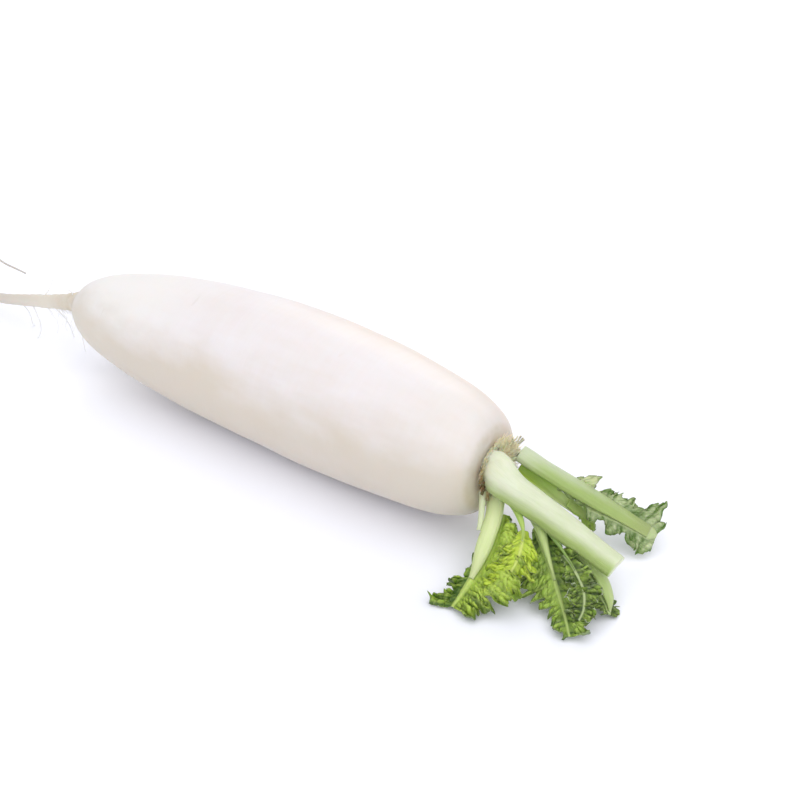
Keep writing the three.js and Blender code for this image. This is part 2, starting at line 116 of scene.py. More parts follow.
def unit(vectors: Array) -> Array:
    """Return the vectors, each over its own length."""
    return vectors / np.maximum(np.linalg.norm(vectors, axis=-1, keepdims=True), 1e-12)


def bell(offset: Array, breadth: float) -> Array:
    """Return a bell curve: e to the power of -(offset / breadth)^2."""
    return np.exp(-((offset / breadth) ** 2))


def step(low: float, high: float, value: Array) -> Array:
    """Return a smooth step from 0 at low to 1 at high: 3u^2 - 2u^3 of the share u."""
    share = np.clip((value - low) / (high - low), 0.0, 1.0)
    return share * share * (3.0 - 2.0 * share)


def scatter(number: Array, seed: float) -> Array:
    """Return a repeatable number from 0 to 1: the fraction of a sine with a huge amplitude."""
    value = np.sin(number * 12.9898 + seed * 78.233) * 43758.5453
    return value - np.floor(value)


def ripples(x: Array, y: Array, size: float, seed: int) -> Array:
    """Return smooth unevenness: nine sine waves with seeded directions and phases.

    Args:
        x: First coordinate in millimetres.
        y: Second coordinate in millimetres.
        size: Typical wavelength in millimetres.
        seed: Picks the waves.

    Returns:
        Values of about -1 to 1.
    """
    draw, count = np.random.default_rng(seed), 9
    total = np.zeros(np.broadcast(x, y).shape)
    for _ in range(count):
        turn, phase = draw.uniform(0, TAU, 2)
        wave = TAU / (size * draw.uniform(0.7, 1.5))
        total += np.sin(wave * (x * math.cos(turn) + y * math.sin(turn)) + phase)
    return total / math.sqrt(count)


def pillows(x: Array, y: Array, size: float, seed: float) -> Array:
    """Return how far inside its cell a point lies: 0 on the net between cells, up to about 1.

    The cells belong to the points of a jittered square lattice.  The value is the distance
    to the second nearest of them less the distance to the nearest, over the lattice's size.

    Args:
        x: First coordinate in millimetres.
        y: Second coordinate in millimetres.
        size: The lattice's size in millimetres.
        seed: Picks the jitter.

    Returns:
        One value for each point.
    """
    u, v = np.broadcast_arrays(x / size, y / size)
    gaps = []
    for step_u, step_v in ((i, j) for i in (-1, 0, 1) for j in (-1, 0, 1)):
        cell_u, cell_v = np.floor(u) + step_u, np.floor(v) + step_v
        number = cell_u * 57.0 + cell_v * 131.0
        centre_u = cell_u + 0.1 + 0.8 * scatter(number, seed)
        centre_v = cell_v + 0.1 + 0.8 * scatter(number, seed + 5.3)
        gaps.append(np.hypot(u - centre_u, v - centre_v))
    nearest = np.sort(np.stack(gaps), axis=0)
    return nearest[1] - nearest[0]


def held_inside(points: Array, low: Array, high: Array, soft: float) -> Array:
    """Return the points drawn back inside a box without a crease.

    Nearer to a wall than ``soft``, a distance d from the wall becomes
    soft times e to the power of d / soft - 1, which stays above 0 beyond the wall as well.

    Args:
        points: Points, (..., 3).
        low: The box's lowest corner.
        high: The box's highest corner.
        soft: How deep the drawn-in layer is.

    Returns:
        The points, in the same shape.
    """
    def pressed(depth: Array) -> Array:
        """Return the depths under a wall after the drawing-in."""
        return np.where(depth < soft, soft * np.exp(np.minimum(depth / soft - 1.0, 0.0)), depth)

    return high - pressed(high - (low + pressed(points - low)))


# ---- Surfaces ----


@dataclass
class Patch:
    """Points, faces and marks of a surface that is still being put together.

    Attributes:
        points: Point places in millimetres, one row each.
        faces: Arrays of faces; every row of one array has as many corners.
        marks: Values for each point, read by the finishes.
    """

    points: Array
    faces: list[Array]
    marks: Marks

    @staticmethod
    def join(patches: Sequence[Patch]) -> Patch:
        """Return all the patches as one, with the marks that the first one has.

        Args:
            patches: The patches.

        Returns:
            The joined patch.
        """
        faces: list[Array] = []
        start = 0
        for patch in patches:
            faces += [rows + start for rows in patch.faces]
            start += len(patch.points)
        names = patches[0].marks
        marks = {name: np.concatenate([patch.marks[name] for patch in patches]) for name in names}
        return Patch(np.vstack([patch.points for patch in patches]), faces, marks)


def grid_faces(rows: int, columns: int, around: bool) -> Array:
    """Return the four-cornered faces of a grid of points numbered row by row.

    Args:
        rows: Number of rows.
        columns: Number of points in a row.
        around: True if each row closes on itself.

    Returns:
        One row of four point numbers for each face.
    """
    i, j = np.meshgrid(np.arange(rows - 1), np.arange(columns if around else columns - 1))
    i, j = i.ravel(), j.ravel()
    after = (j + 1) % columns
    low, high = i * columns, (i + 1) * columns
    return np.stack([low + j, low + after, high + after, high + j], axis=1)


def tube(rings: Array, marks: Marks) -> Patch:
    """Return closed tubes: rings of points joined in order, with a flat face at both ends.

    Args:
        rings: Array of (ring, point, 3), or (tube, ring, point, 3) for several tubes.
        marks: Values with the same leading shape as the rings.

    Returns:
        The patch.
    """
    several = rings if rings.ndim == 4 else rings[None]
    count, length, sides, _ = several.shape
    side = grid_faces(length, sides, True)
    ends = np.stack([np.arange(sides)[::-1], np.arange(sides) + (length - 1) * sides])
    offsets = np.arange(count)[:, None, None] * length * sides
    faces = [(side[None] + offsets).reshape(-1, 4), (ends[None] + offsets).reshape(-1, sides)]
    flat = {name: value.reshape(count * length * sides, -1) for name, value in marks.items()}
    return Patch(several.reshape(-1, 3), faces, flat)


def round_rings(centres: Array, radii: Array, sides: int) -> Array:
    """Return round rings carried along paths: each point is centre + r(cos a e1 + sin a e2).

    Args:
        centres: Path points, (..., ring, 3).
        radii: Radius at each path point, (..., ring).
        sides: Points in a ring.

    Returns:
        Array of (..., ring, point, 3).
    """
    tangent = unit(np.gradient(centres, axis=-2))
    helper = np.where(np.abs(tangent[..., 1:2]) > 0.9, FORWARD, [0.0, 1.0, 0.0])
    up = unit(np.cross(tangent, helper))
    side = np.cross(up, tangent)
    angle = np.arange(sides)[:, None] * TAU / sides
    spread = np.cos(angle) * side[..., None, :] + np.sin(angle) * up[..., None, :]
    return centres[..., None, :] + radii[..., None, None] * spread


def sheet(middle: Array, thickness: Array, marks: Marks) -> Patch:
    """Return a closed thin sheet: the grid pushed half its thickness out along both normals.

    Args:
        middle: The middle surface, (row, column, 3).
        thickness: Thickness at each point, (row, column).
        marks: Values at each point, (row, column) or (row, column, n).

    Returns:
        The patch, with the mark ``under`` 0 on the side of the normal and 1 on the other.
    """
    rows, columns, _ = middle.shape
    along, across = np.gradient(middle, axis=0), np.gradient(middle, axis=1)
    normal = unit(np.cross(along, across)) * (thickness[..., None] / 2)
    points = np.concatenate([(middle + normal).reshape(-1, 3), (middle - normal).reshape(-1, 3)])
    count = rows * columns
    top = grid_faces(rows, columns, False)
    number = np.arange(count).reshape(rows, columns)
    loop = np.concatenate([number[0, :-1], number[:-1, -1], number[-1, :0:-1], number[:0:-1, 0]])
    after = np.roll(loop, -1)
    rim = np.stack([after, loop, loop + count, after + count], axis=1)
    flat = {name: np.tile(value.reshape(count, -1), (2, 1)) for name, value in marks.items()}
    flat["under"] = np.repeat([0.0, 1.0], count)[:, None]
    return Patch(points, [top[:, ::-1], top + count, rim[:, ::-1]], flat)


def add_piece(
    name: str, patch: Patch, material: bpy.types.Material, slot: Slot, *nodes: str
) -> None:
    """Add a smooth piece that rides on the body and stands for its nodes.

    Args:
        name: The piece's name.
        patch: Its surface in millimetres.
        material: Its finish.
        slot: The material slot, which is not used.
        nodes: The nodes that it replaces, if any.
    """
    data = bpy.data.meshes.new(name)
    faces = [face for rows in patch.faces for face in rows.tolist()]
    data.from_pydata((patch.points * MM).tolist(), [], faces)
    data.validate()
    for mark, values in patch.marks.items():
        kind, key = ("FLOAT", "value") if values.shape[1] == 1 else ("FLOAT_VECTOR", "vector")
        stored = data.attributes.new(mark, kind, "POINT")
        stored.data.foreach_set(key, values.astype(np.float32).ravel())
    data.shade_smooth()
    data.materials.append(material)
    piece = bpy.data.objects.new(name, data)
    bpy.context.scene.collection.objects.link(piece)
    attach(piece, BODY)
    if nodes:
        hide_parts(*nodes)
    LOG.info("%s: %d faces", name, len(data.polygons))


# ---- Shader maths ----


def math_operator(operation: str, turned: bool = False) -> Callable:
    """Return the method behind one operator of a signal.

    Args:
        operation: The Math node's operation.
        turned: True if the signal is the right-hand side.

    Returns:
        The method, which adds the Math node.
    """
    def method(self: Signal, other: Signal | float) -> Signal:
        """Return the Math node's result for both sides."""
        return self.maths(operation, *((other, self) if turned else (self, other)))

    return method


class Signal:
    """A shader socket that takes part in Python expressions by adding nodes."""

    __add__, __radd__ = math_operator("ADD"), math_operator("ADD", True)
    __sub__, __rsub__ = math_operator("SUBTRACT"), math_operator("SUBTRACT", True)
    __mul__, __rmul__ = math_operator("MULTIPLY"), math_operator("MULTIPLY", True)

    def __init__(self, shader: Shader, socket: bpy.types.NodeSocket) -> None:
        """Wrap a socket of the shader's node tree."""
        self.shader = shader
        self.socket = socket

    def maths(self, operation: str, *values: Signal | float, clamp: bool = False) -> Signal:
        """Return a Math node's result for these values, held between 0 and 1 if asked."""
        settings = {"operation": operation, "use_clamp": clamp}
        return self.shader.output(0, "ShaderNodeMath", settings, dict(enumerate(values)))

    def __neg__(self) -> Signal:
        """Return the value with its sign turned."""
        return self * -1.0

    def clamped(self) -> Signal:
        """Return the value held between 0 and 1."""
        return self.maths("ADD", self, 0.0, clamp=True)

    def step(self, low: float, high: float) -> Signal:
        """Return a smooth step of the value.

        Args:
            low: Where it begins to rise from 0.
            high: Where it reaches 1.

        Returns:
            The step.
        """
        settings = {"interpolation_type": "SMOOTHSTEP", "clamp": True}
        values = {"Value": self, "From Min": low, "From Max": high}
        return self.shader.output("Result", "ShaderNodeMapRange", settings, values)


class Shader:
    """A material under construction, with one surface shader in the end."""

    def __init__(self, name: str, colour: Colour) -> None:
        """Start a material.

        Args:
            name: The material's name.
            colour: Its lowest layer.
        """
        self.colour: Signal | Colour = colour
        self.material = bpy.data.materials.new(name)
        self.material.use_nodes = True
        self.tree = self.material.node_tree
        self.tree.nodes.clear()

    def node(self, kind: str, settings: dict, values: dict) -> bpy.types.Node:
        """Add any node.

        Args:
            kind: The node's type.
            settings: Its properties, set first.
            values: Numbers, colours or signals for its input sockets, by name or number.

        Returns:
            The node.
        """
        made = self.tree.nodes.new(kind)
        for key, value in settings.items():
            setattr(made, key, value)
        for key, value in values.items():
            socket = made.inputs[key]
            if isinstance(value, Signal):
                self.tree.links.new(value.socket, socket)
            elif socket.type == "RGBA":
                socket.default_value = (*value, 1.0)
            else:
                socket.default_value = value
        return made

    def output(self, name: str | int, kind: str, settings: dict, values: dict) -> Signal:
        """Return the output of this name or number of a new node."""
        return Signal(self, self.node(kind, settings, values).outputs[name])

    def mark(self, name: str, part: str = "Fac") -> Signal:
        """Return a mark stored on the surface's points: its value, or its Vector."""
        return self.output(part, "ShaderNodeAttribute", {"attribute_name": name}, {})

    def place(self) -> Signal:
        """Return the point's place in the part's frame, in metres."""
        return self.output("Object", "ShaderNodeTexCoord", {}, {})

    def split(self, vector: Signal) -> list[Signal]:
        """Return a vector's three parts."""
        made = self.node("ShaderNodeSeparateXYZ", {}, {0: vector})
        return [Signal(self, socket) for socket in made.outputs]

    def noise(
        self, vector: Signal, scale: float, detail: float = 2.0, rough: float = 0.5,
        stretch: Row | None = None,
    ) -> Signal:
        """Return soft noise of about 0 to 1.

        Args:
            vector: The place it is read at.
            scale: How many swells there are in a unit of length.
            detail: How many finer layers it has.
            rough: How strong they are.
            stretch: A factor for each part of the vector, under 1 to draw the noise out.

        Returns:
            The noise.
        """
        if stretch:
            settings, values = {"operation": "MULTIPLY"}, {0: vector, 1: stretch}
            vector = self.output(0, "ShaderNodeVectorMath", settings, values)
        values = {"Vector": vector, "Scale": scale, "Detail": detail, "Roughness": rough}
        return self.output("Fac", "ShaderNodeTexNoise", {}, values)

    def layer(self, factor: Signal, colour: Colour) -> None:
        """Lay a colour over the layers so far.

        Args:
            factor: How much of it shows; below 0 counts as 0, and over 1 as 1.
            colour: The colour.
        """
        settings = {"data_type": "RGBA", "clamp_factor": True}
        values = {0: factor, 6: self.colour, 7: colour}
        self.colour = self.output(2, "ShaderNodeMix", settings, values)

    def bump(self, height: Signal, distance: float, strength: float) -> Signal:
        """Return a normal bent by a height of 0 to 1 that stands for distance metres."""
        values = {"Height": height, "Distance": distance, "Strength": strength}
        return self.output("Normal", "ShaderNodeBump", {}, values)

    def finish(self, values: dict) -> bpy.types.Material:
        """Add the surface shader under the layers of colour.

        Args:
            values: Numbers, colours or signals for the surface shader's other inputs.

        Returns:
            The material.
        """
        values["Base Color"] = self.colour
        surface = self.output("BSDF", "ShaderNodeBsdfPrincipled", {}, values)
        self.node("ShaderNodeOutputMaterial", {}, {"Surface": surface})
        return self.material


# ---- Finishes ----


@dataclass(frozen=True)
class SkinFinish:
    """The root's ivory skin with faint rings and painted shade on its flanks, far side and whip.
    """

    ivory: Colour = (0.800, 0.762, 0.756)
    fair: Colour = (0.830, 0.806, 0.760)
    shaded_flank: Colour = (0.665, 0.598, 0.500)
    cream: Colour = (0.69, 0.645, 0.545)
    far_side_shade: Colour = (0.78, 0.675, 0.565)
    blush: Colour = (0.755, 0.690, 0.650)
    scar: Colour = (0.60, 0.52, 0.42)
    knob: Colour = (0.56, 0.48, 0.34)
    whip_shade: Colour = (0.42, 0.40, 0.37)

    def material(self) -> bpy.types.Material:
        """Return the finish as a material."""
        make = Shader("root_skin", self.ivory)
        place = make.place()
        x, y, z = make.split(place)
        rings = make.noise(place, 420.0, 3.0, 0.6, (1.0, 0.07, 0.07))
        streaks = make.noise(place, 90.0, 3.0, 0.55, (0.12, 1.0, 1.0))
        broad = make.noise(place, 48.0, 3.0, 0.55, (0.6, 1.0, 1.0))
        blotch = (broad - 0.5) * 1.6 + (rings - 0.5) * 0.5 + (streaks - 0.5) * 0.9
        make.layer((blotch + 0.4).clamped() * 0.85, self.blush)
        # Painted shade lies low on the flanks, under a level that sinks to both ends with x
        # squared.
        level = 0.0550 - x * x * 0.33 - z + (broad - 0.5) * 0.022 + (streaks - 0.5) * 0.010
        low = level.step(-0.017, 0.015)
        pale = (-x).step(0.040, 0.130) * (1.0 - low)
        make.layer(pale * 0.9, self.fair)
        ends = (-x).step(-0.020, 0.120) + x.step(0.060, 0.120)
        # The painted shade is darker and warmer at both ends and weaker just above the floor.
        painted_low_shade = low * (0.65 + broad * 0.5 + ends * 0.3) * (1.0 - (-z).step(-0.022, -0.004) * 0.5)
        make.layer(painted_low_shade, self.shaded_flank)
        # Warm painted shade on the tip's low flank, and cream towards the shoulder.
        tip, shoulder = (-x).step(0.090, 0.178), x.step(0.060, 0.124)
        warm = (tip * low * 0.8 + shoulder * 0.35) * (0.7 + broad * 0.6)
        make.layer(warm, self.cream)
        # Painted shade: a darker peach over the far side of the root's middle.
        back = y.step(-0.010, 0.020) * x.step(-0.060, 0.060)
        make.layer(back * 0.85, self.far_side_shade)
        # Brown knobs sit where the taproot leaves the root and along the crown's rim.
        joint = x.step(-0.200, -0.176) * (-x).step(0.160, 0.170)
        patchy = make.noise(place, 140.0) * 1.5 - 0.35 + (-z).step(-0.042, -0.034) * 0.3
        collar = x.step(0.1175, 0.1200) * 0.8
        make.layer((joint + collar) * patchy, self.knob)
        # Painted shade darkens the thin whip.
        make.layer(make.mark("whip_shade"), self.whip_shade)
        scars = make.noise(place, 260.0, 1.0, 0.5, (1.0, 0.22, 0.22)).step(0.735, 0.80)
        make.layer(scars * 0.18, self.scar)
        height = rings * 0.5 + streaks * 0.3 + make.noise(place, 900.0) * 0.25 - scars * 0.6
        return make.finish({
            "Roughness": 0.5 + (rings - 0.5) * 0.25,
            "Coat Weight": 0.06,
            "Coat Roughness": 0.25,
            "Specular IOR Level": 0.35,
            "Subsurface Weight": 0.35,
            "Subsurface Scale": 0.008,
            "Subsurface Radius": (1.0, 0.62, 0.42),
            "Normal": make.bump(height, 0.00022, 0.8),
        })


@dataclass(frozen=True)
class HairFinish:
    """Pale hair roots, a little darker towards their ends."""

    pale: Colour = (0.86, 0.86, 0.84)
    tan: Colour = (0.74, 0.71, 0.62)

    def material(self) -> bpy.types.Material:
        """Return the finish as a material."""
        make = Shader("hair_root", self.pale)
        patch = make.noise(make.place(), 160.0)
        make.layer(patch * 0.5 + make.mark("share") * 0.3 - 0.25, self.tan)
        return make.finish({"Roughness": 0.6, "Subsurface Weight": 0.15})


@dataclass(frozen=True)
class ScaleFinish:
    """Dry leaf-base remains: pale flesh, straw in the tuft, brown where they lie on the root."""

    flesh: Colour = (0.84, 0.82, 0.64)
    straw: Colour = (0.98, 0.85, 0.53)
    tan: Colour = (0.78, 0.60, 0.32)
    brown: Colour = (0.17, 0.095, 0.035)

    def material(self) -> bpy.types.Material:
        """Return the finish as a material."""
        make = Shader("crown_scale", self.flesh)
        fibre = make.noise(make.mark("flow", "Vector"), 1.1, 3.0, 0.6, (0.25, 6.0, 1.0))
        patch = make.noise(make.place(), 260.0, 3.0)
        tuft = (make.mark("tuft") + (patch - 0.5) * 0.6).clamped()
        make.layer(tuft, self.straw)
        uneven = (patch - 0.5) * 0.7 + (fibre - 0.5) * 0.5
        burnt = make.mark("tone") * 1.15 + uneven * (1.0 - tuft * 0.4)
        make.layer(burnt * 1.6, self.tan)
        make.layer(burnt * 2.0 - 1.0, self.brown)
        return make.finish({
            "Roughness": 0.82 - fibre * 0.2,
            "Specular IOR Level": 0.2,
            "Subsurface Weight": 0.4,
            "Subsurface Scale": 0.003,
            "Normal": make.bump(fibre, 0.0003, 0.9),
        })


@dataclass(frozen=True)
class StalkFinish:
    """A moist ribbed stalk: pale at the base, greener towards its end and on its right side.

    ``reach`` is how green the end is, the next number how green the right side is, partly its
    own green and partly painted shade, and ``cut`` the colour of the cut face.
    """

    pale: Colour
    green: Colour
    reach: float = 0.6
    green_side_and_shade: float = 0.3
    cut: Colour = (0.74, 0.79, 0.55)

    def material(self, name: str) -> bpy.types.Material:
        """Make the finish.

        Args:
            name: The material's name.

        Returns:
            The material.
        """
        make = Shader(name, self.pale)
        flow = make.mark("flow", "Vector")
        share, side, cut = (make.mark(mark) for mark in ("share", "side", "cut"))
        ribs = make.noise(flow, 2.6, 3.0, 0.6, (0.035, 1.0, 0.0))
        blotch = make.noise(flow, 0.55, 2.0, 0.5, (0.16, 0.5, 0.0))
        # The right side's green is partly the stalk's own and partly painted shade.
        green_side_and_shade_mask = (-side).step(-0.25, 0.85) * self.green_side_and_shade * share.step(0.0, 0.25)
        rim = (side * side).step(0.75, 1.0) * 0.15
        green = share.step(0.0, 1.0) * self.reach + green_side_and_shade_mask + rim
        green = green + (ribs - 0.5) * 0.5 + (blotch - 0.5) * 0.45
        make.layer(green, self.green)
        core = make.noise(make.place(), 1500.0)
        make.layer(cut * (0.55 + core * 0.4), self.cut)
        return make.finish({
            "Roughness": 0.34 + (ribs - 0.5) * 0.25 + cut * 0.15,
            "Coat Weight": 0.1,
            "Coat Roughness": 0.2,
            "Subsurface Weight": 0.35,
            "Subsurface Scale": 0.005,
            "Subsurface Radius": (0.7, 1.0, 0.35),
            "Normal": make.bump(ribs * (1.0 - cut) + core * cut * 0.8, 0.0003, 0.9),
        })


@dataclass(frozen=True)
class BladeFinish:
    """A crinkled blade: painted light and shade on its relief, a pale vein net and a worn edge."""

    bright: Colour
    dark: Colour
    vein: Colour
    edge: Colour = (0.10, 0.11, 0.03)
    underside: Colour = (0.26, 0.33, 0.16)
    margin: float = 0.35

    def material(self, name: str) -> bpy.types.Material:
        """Make the finish.

        Args:
            name: The material's name.

        Returns:
            The material.
        """
        make = Shader(name, self.bright)
        flow = make.mark("flow", "Vector")
        vein, net, rim = (make.mark(mark) for mark in ("vein", "net", "rim"))
        grain = make.noise(flow, 1.5, 3.0, 0.6)
        # The crest mark paints light on the crests and shade in the valleys.
        # The shade mark is partly the leaf's own dark green and partly painted shade.
        shade = make.mark("shade") + (make.noise(flow, 0.11, 3.0, 0.6) - 0.5) + (grain - 0.5) * 0.5
        make.layer(shade - (make.mark("crest") - 0.42) * 1.25, self.dark)
        make.layer(net * 0.28, self.vein)
        make.layer(vein * 0.7, self.vein)
        make.layer(rim.step(0.8, 1.0) * self.margin, self.dark)
        # A worn dark edge; on the curled leaf the edge colour is pale, a painted highlight.
        wear_and_highlight_edge = rim.step(0.93, 1.0) * make.noise(flow, 0.35).step(0.45, 0.6)
        make.layer(wear_and_highlight_edge * 0.75, self.edge)
        make.layer(make.mark("under") * 0.55, self.underside)
        return make.finish({
            "Roughness": 0.36 + (grain - 0.5) * 0.3 + vein * 0.1,
            "Coat Weight": 0.04,
            "Coat Roughness": 0.2,
            "Specular IOR Level": 0.3,
            "Subsurface Weight": 0.22,
            "Subsurface Scale": 0.002,
            "Subsurface Radius": (0.6, 1.0, 0.2),
            "Normal": make.bump(grain * 0.6 + vein * 0.6 - net * 0.5, 0.0004, 0.9),
        })


@dataclass(frozen=True)
class FloorFinish:
    """The plain white floor."""

    white: Colour = (0.93, 0.937, 0.985)

    def material(self) -> bpy.types.Material:
        """Return the finish as a material."""
        return Shader("floor_white", self.white).finish({"Roughness": 0.7})


# ---- Root ----


@dataclass
class Root:
    """The storage root with its taproot, whip end, rootlets and hair roots.

    The profile and the two closing tables say (place along, radius), from the tip for the
    profile and the neck, and from the crown face for the face.  The taproot says (x, y, z,
    radius), with ``uncurled`` rows before it curls, and the rootlets (x, angle round the
    root, length, droop).
    """

    length: float = 290.0
    radius: float = 40.0
    widest: float = 170.0
    rest_depth: float = 0.5
    bend: float = -8.0
    profile: Table = (
        (0, 6), (3, 11), (13, 18.8), (35, 27), (73, 34), (122, 38.6), (170, 40), (222, 38),
        (262, 33.4), (281, 28), (288.5, 22.5), (290, 17),
    )
    neck: Table = ((-4.5, 5.9), (-1.2, 7.4))
    face: Table = ((-0.3, 11.0), (-0.8, 1.0))
    taproot: Table = (
        (-158, -7.2, 40, 7.2), (-170, -8, 38.6, 5.6), (-192, -7, 33.6, 4.6),
        (-217, -6, 26.5, 3.9), (-240, -5, 20, 3.4), (-258, -4.6, 15.6, 3),
        (-272, -4, 13.6, 2.5), (-284, -3.4, 15, 1.9), (-292, -2.4, 22, 1.4),
        (-293, -1.4, 31, 1.1), (-287, -0.6, 39, 0.9), (-276, 0, 42.6, 0.8),
        (-263, 0, 42.2, 0.7), (-251, 0, 39.8, 0.6), (-241, 0, 39.2, 0.55),
        (-231.6, 0, 38.6, 0.5),
    )
    uncurled: int = 8
    rootlets: Table = (
        (-236, -70, 17, 0.7), (-222, -95, 20, 0.5), (-205, -60, 24, 0.8), (-186, -80, 26, 0.6),
        (-163, -48, 30, 0.5), (-212, 60, 14, 0.3), (-178, 110, 12, 0.4),
    )
    rings: int = 460
    sides: int = 160
    fold_size: float = 5.5
    fold_depth: float = 0.03
    dip_size: float = 46.0
    dip_depth: float = 0.22
    hair_count: int = 44
    hair_seed: int = 23
    thread_rings: int = 14

    @property
    def axis_height(self) -> float:
        """Height of the root's middle line over what it rests on."""
        return self.radius - self.rest_depth

    @property
    def tip_x(self) -> float:
        """Where the root ends and the taproot begins."""
        return -self.widest

    @property
    def crown_x(self) -> float:
        """Where the root's crown face is."""
        return self.length - self.widest

    def middle(self, x: Array) -> Array:
        """Return the middle line's points: a sideways parabola that ends at the bend."""
        sideways = self.bend * (2.0 * (x - self.tip_x) / self.length - 1.0) ** 2
        return np.stack([x, sideways, np.full_like(x, self.axis_height)], axis=-1)

    def controls(self) -> Array:
        """Return control rings from the whip's end to the crown: middle, direction, radius."""
        whip = np.array(self.taproot[:1:-1], float)
        body = np.vstack([self.neck, self.profile[1:], np.array(self.face) + (self.length, 0.0)])
        centres = np.vstack([whip[:, :3], self.middle(self.tip_x + body[:, 0])])
        towards = unit(np.gradient(centres, axis=0))
        towards[len(whip):] = FORWARD
        return np.hstack([centres, towards, np.concatenate([whip[:, 3], body[:, 1]])[:, None]])

    def skin(self) -> Patch:
        """Return the skin: rings carried along the middle line, flattened where it rests.

        A ring's point is middle + r(cos a e1 + sin a e2), with e2 up and e1 across.  Shallow
        dips, never swellings, make the radius uneven, and the taproot carries fine folds.
        """
        rows = curve(self.controls(), np.linspace(0.0, 1.0, self.rings))
        centre, towards, radius = rows[:, :3], unit(rows[:, 3:6]), rows[:, 6:]
        up = unit(np.cross(towards, (0.0, 1.0, 0.0)))
        across = np.cross(up, towards)
        angle = np.arange(self.sides) * TAU / self.sides
        steps = np.linalg.norm(np.diff(centre, axis=0), axis=1)
        along = np.concatenate([[0.0], np.cumsum(steps)])[:, None]
        slim = 1.0 - step(6.0, 12.0, radius)
        folds = ripples(along, angle * radius * 0.3, self.fold_size, 11) * self.fold_depth * radius
        across_way = self.radius * np.sin(angle)[None, :]
        dips = self.dip_depth * (ripples(along, across_way, self.dip_size, 5) - 1.4)
        uneven = slim * folds + (1.0 - slim) * np.minimum(dips, 0.0)
        spread = np.cos(angle)[:, None] * across[:, None] + np.sin(angle)[:, None] * up[:, None]
        points = centre[:, None] + (radius + uneven)[..., None] * spread
        points[..., 2] = np.maximum(points[..., 2], 0.0)
        points[..., 0] = np.maximum(points[..., 0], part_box("root")[0][0] / MM + 0.03)
        # This mark sets where shade is painted on the thin whip.
        return tube(points, {"whip_shade": (1.0 - step(1.4, 4.4, radius)) * np.ones(self.sides)})

    def middle_at(self, x: Array) -> tuple[Array, Array]:
        """Look up the middle line, on the root or on the taproot before its curl.

        Args:
            x: Places along.

        Returns:
            The middle line's points, and the radii there.
        """
        fine = curve(self.profile, np.linspace(0, 1, 400))
        body_radius = np.interp(x - self.tip_x, fine[:, 0], fine[:, 1])
        table = np.array(self.taproot[1:self.uncurled], float)[::-1]
        slim = np.stack([np.interp(x, table[:, 0], table[:, k]) for k in (1, 2, 3)], axis=1)
        on_root = x > self.tip_x
        whip = np.column_stack([x, slim[:, :2]])
        middle = np.where(on_root[:, None], self.middle(x), whip)
        return middle, np.where(on_root, body_radius, slim[:, 2])

    def thread_tubes(
        self, rows: Array, thickness: float, sides: int, curl: float, sweep: float, seed: int
    ) -> Patch:
        """Return threads that grow out of the root and bend down under their own weight.

        Each thread leaves along its own direction, sinks with the square of the share along
        it and swings sideways in a slow wave.

        Args:
            rows: One row for each thread: x, angle round the root, length and droop.
            thickness: Radius at the base in millimetres.
            sides: Points in a ring.
            curl: How far it swings, in millimetres.
            sweep: How much it leans towards the crown as it leaves.
            seed: Picks the waves.

        Returns:
            The patch, with the mark ``share`` along each thread.
        """
        x, degrees, length, droop = rows.T
        centre, radius = self.middle_at(x)
        angle = np.radians(degrees)
        out = unit(np.stack([np.full_like(x, sweep), np.cos(angle), np.sin(angle)], axis=1))
        share = np.linspace(0.0, 1.0, self.thread_rings)[None, :]
        start = centre + out * (radius * 0.8)[:, None]
        path = start[:, None] + out[:, None] * (length[:, None] * share)[..., None]
        path[..., 2] -= (droop * length)[:, None] * share**2 * 0.5
        phase = np.random.default_rng(seed).uniform(0, TAU, (len(x), 2, 1))
        path[..., 0] += 4.0 * np.sin(4.0 * share) * length[:, None] / 24.0
        path[..., 0] += curl * share * np.sin(5.0 * share + phase[:, 0])
        path[..., 1] += curl * share * np.sin(6.0 * share + phase[:, 1])
        path[..., 2] = np.maximum(path[..., 2], thickness + 0.1)
        rings = round_rings(path, thickness * (1.0 - 0.6 * share) * np.ones((len(x), 1)), sides)
        return tube(rings, {"share": np.broadcast_to(share[..., None], rings.shape[:3])})

    def hair_rows(self) -> Array:
        """Return where the hair roots grow: mostly under the taproot and the root's tip."""
        draw, count = np.random.default_rng(self.hair_seed), self.hair_count
        x = np.where(draw.random(count) < 0.8, -170 - 40 * draw.random(count) ** 1.4,
                     draw.uniform(-172, -160, count))
        degrees, length = draw.normal(-85, 22, count), draw.uniform(4, 14, count)
        return np.stack([x, degrees, length, draw.uniform(0.4, 1.1, count)], axis=1)

    def build(self) -> None:
        """Build and dress the skin, the rootlets and the hair roots."""
        add_piece("root_skin", self.skin(), SkinFinish().material(), Slot.SKIN, "root")
        hair = HairFinish().material()
        rootlets = self.thread_tubes(
            np.array(self.rootlets, float), thickness=0.42, sides=8, curl=1.0, sweep=0.25, seed=3
        )
        add_piece("rootlets", rootlets, hair, Slot.SKIN, "root")
        hairs = self.thread_tubes(
            self.hair_rows(), thickness=0.17, sides=5, curl=1.6, sweep=0.9, seed=4
        )
        add_piece("hair_roots", hairs, hair, Slot.SKIN)


# ---- Leaves ----


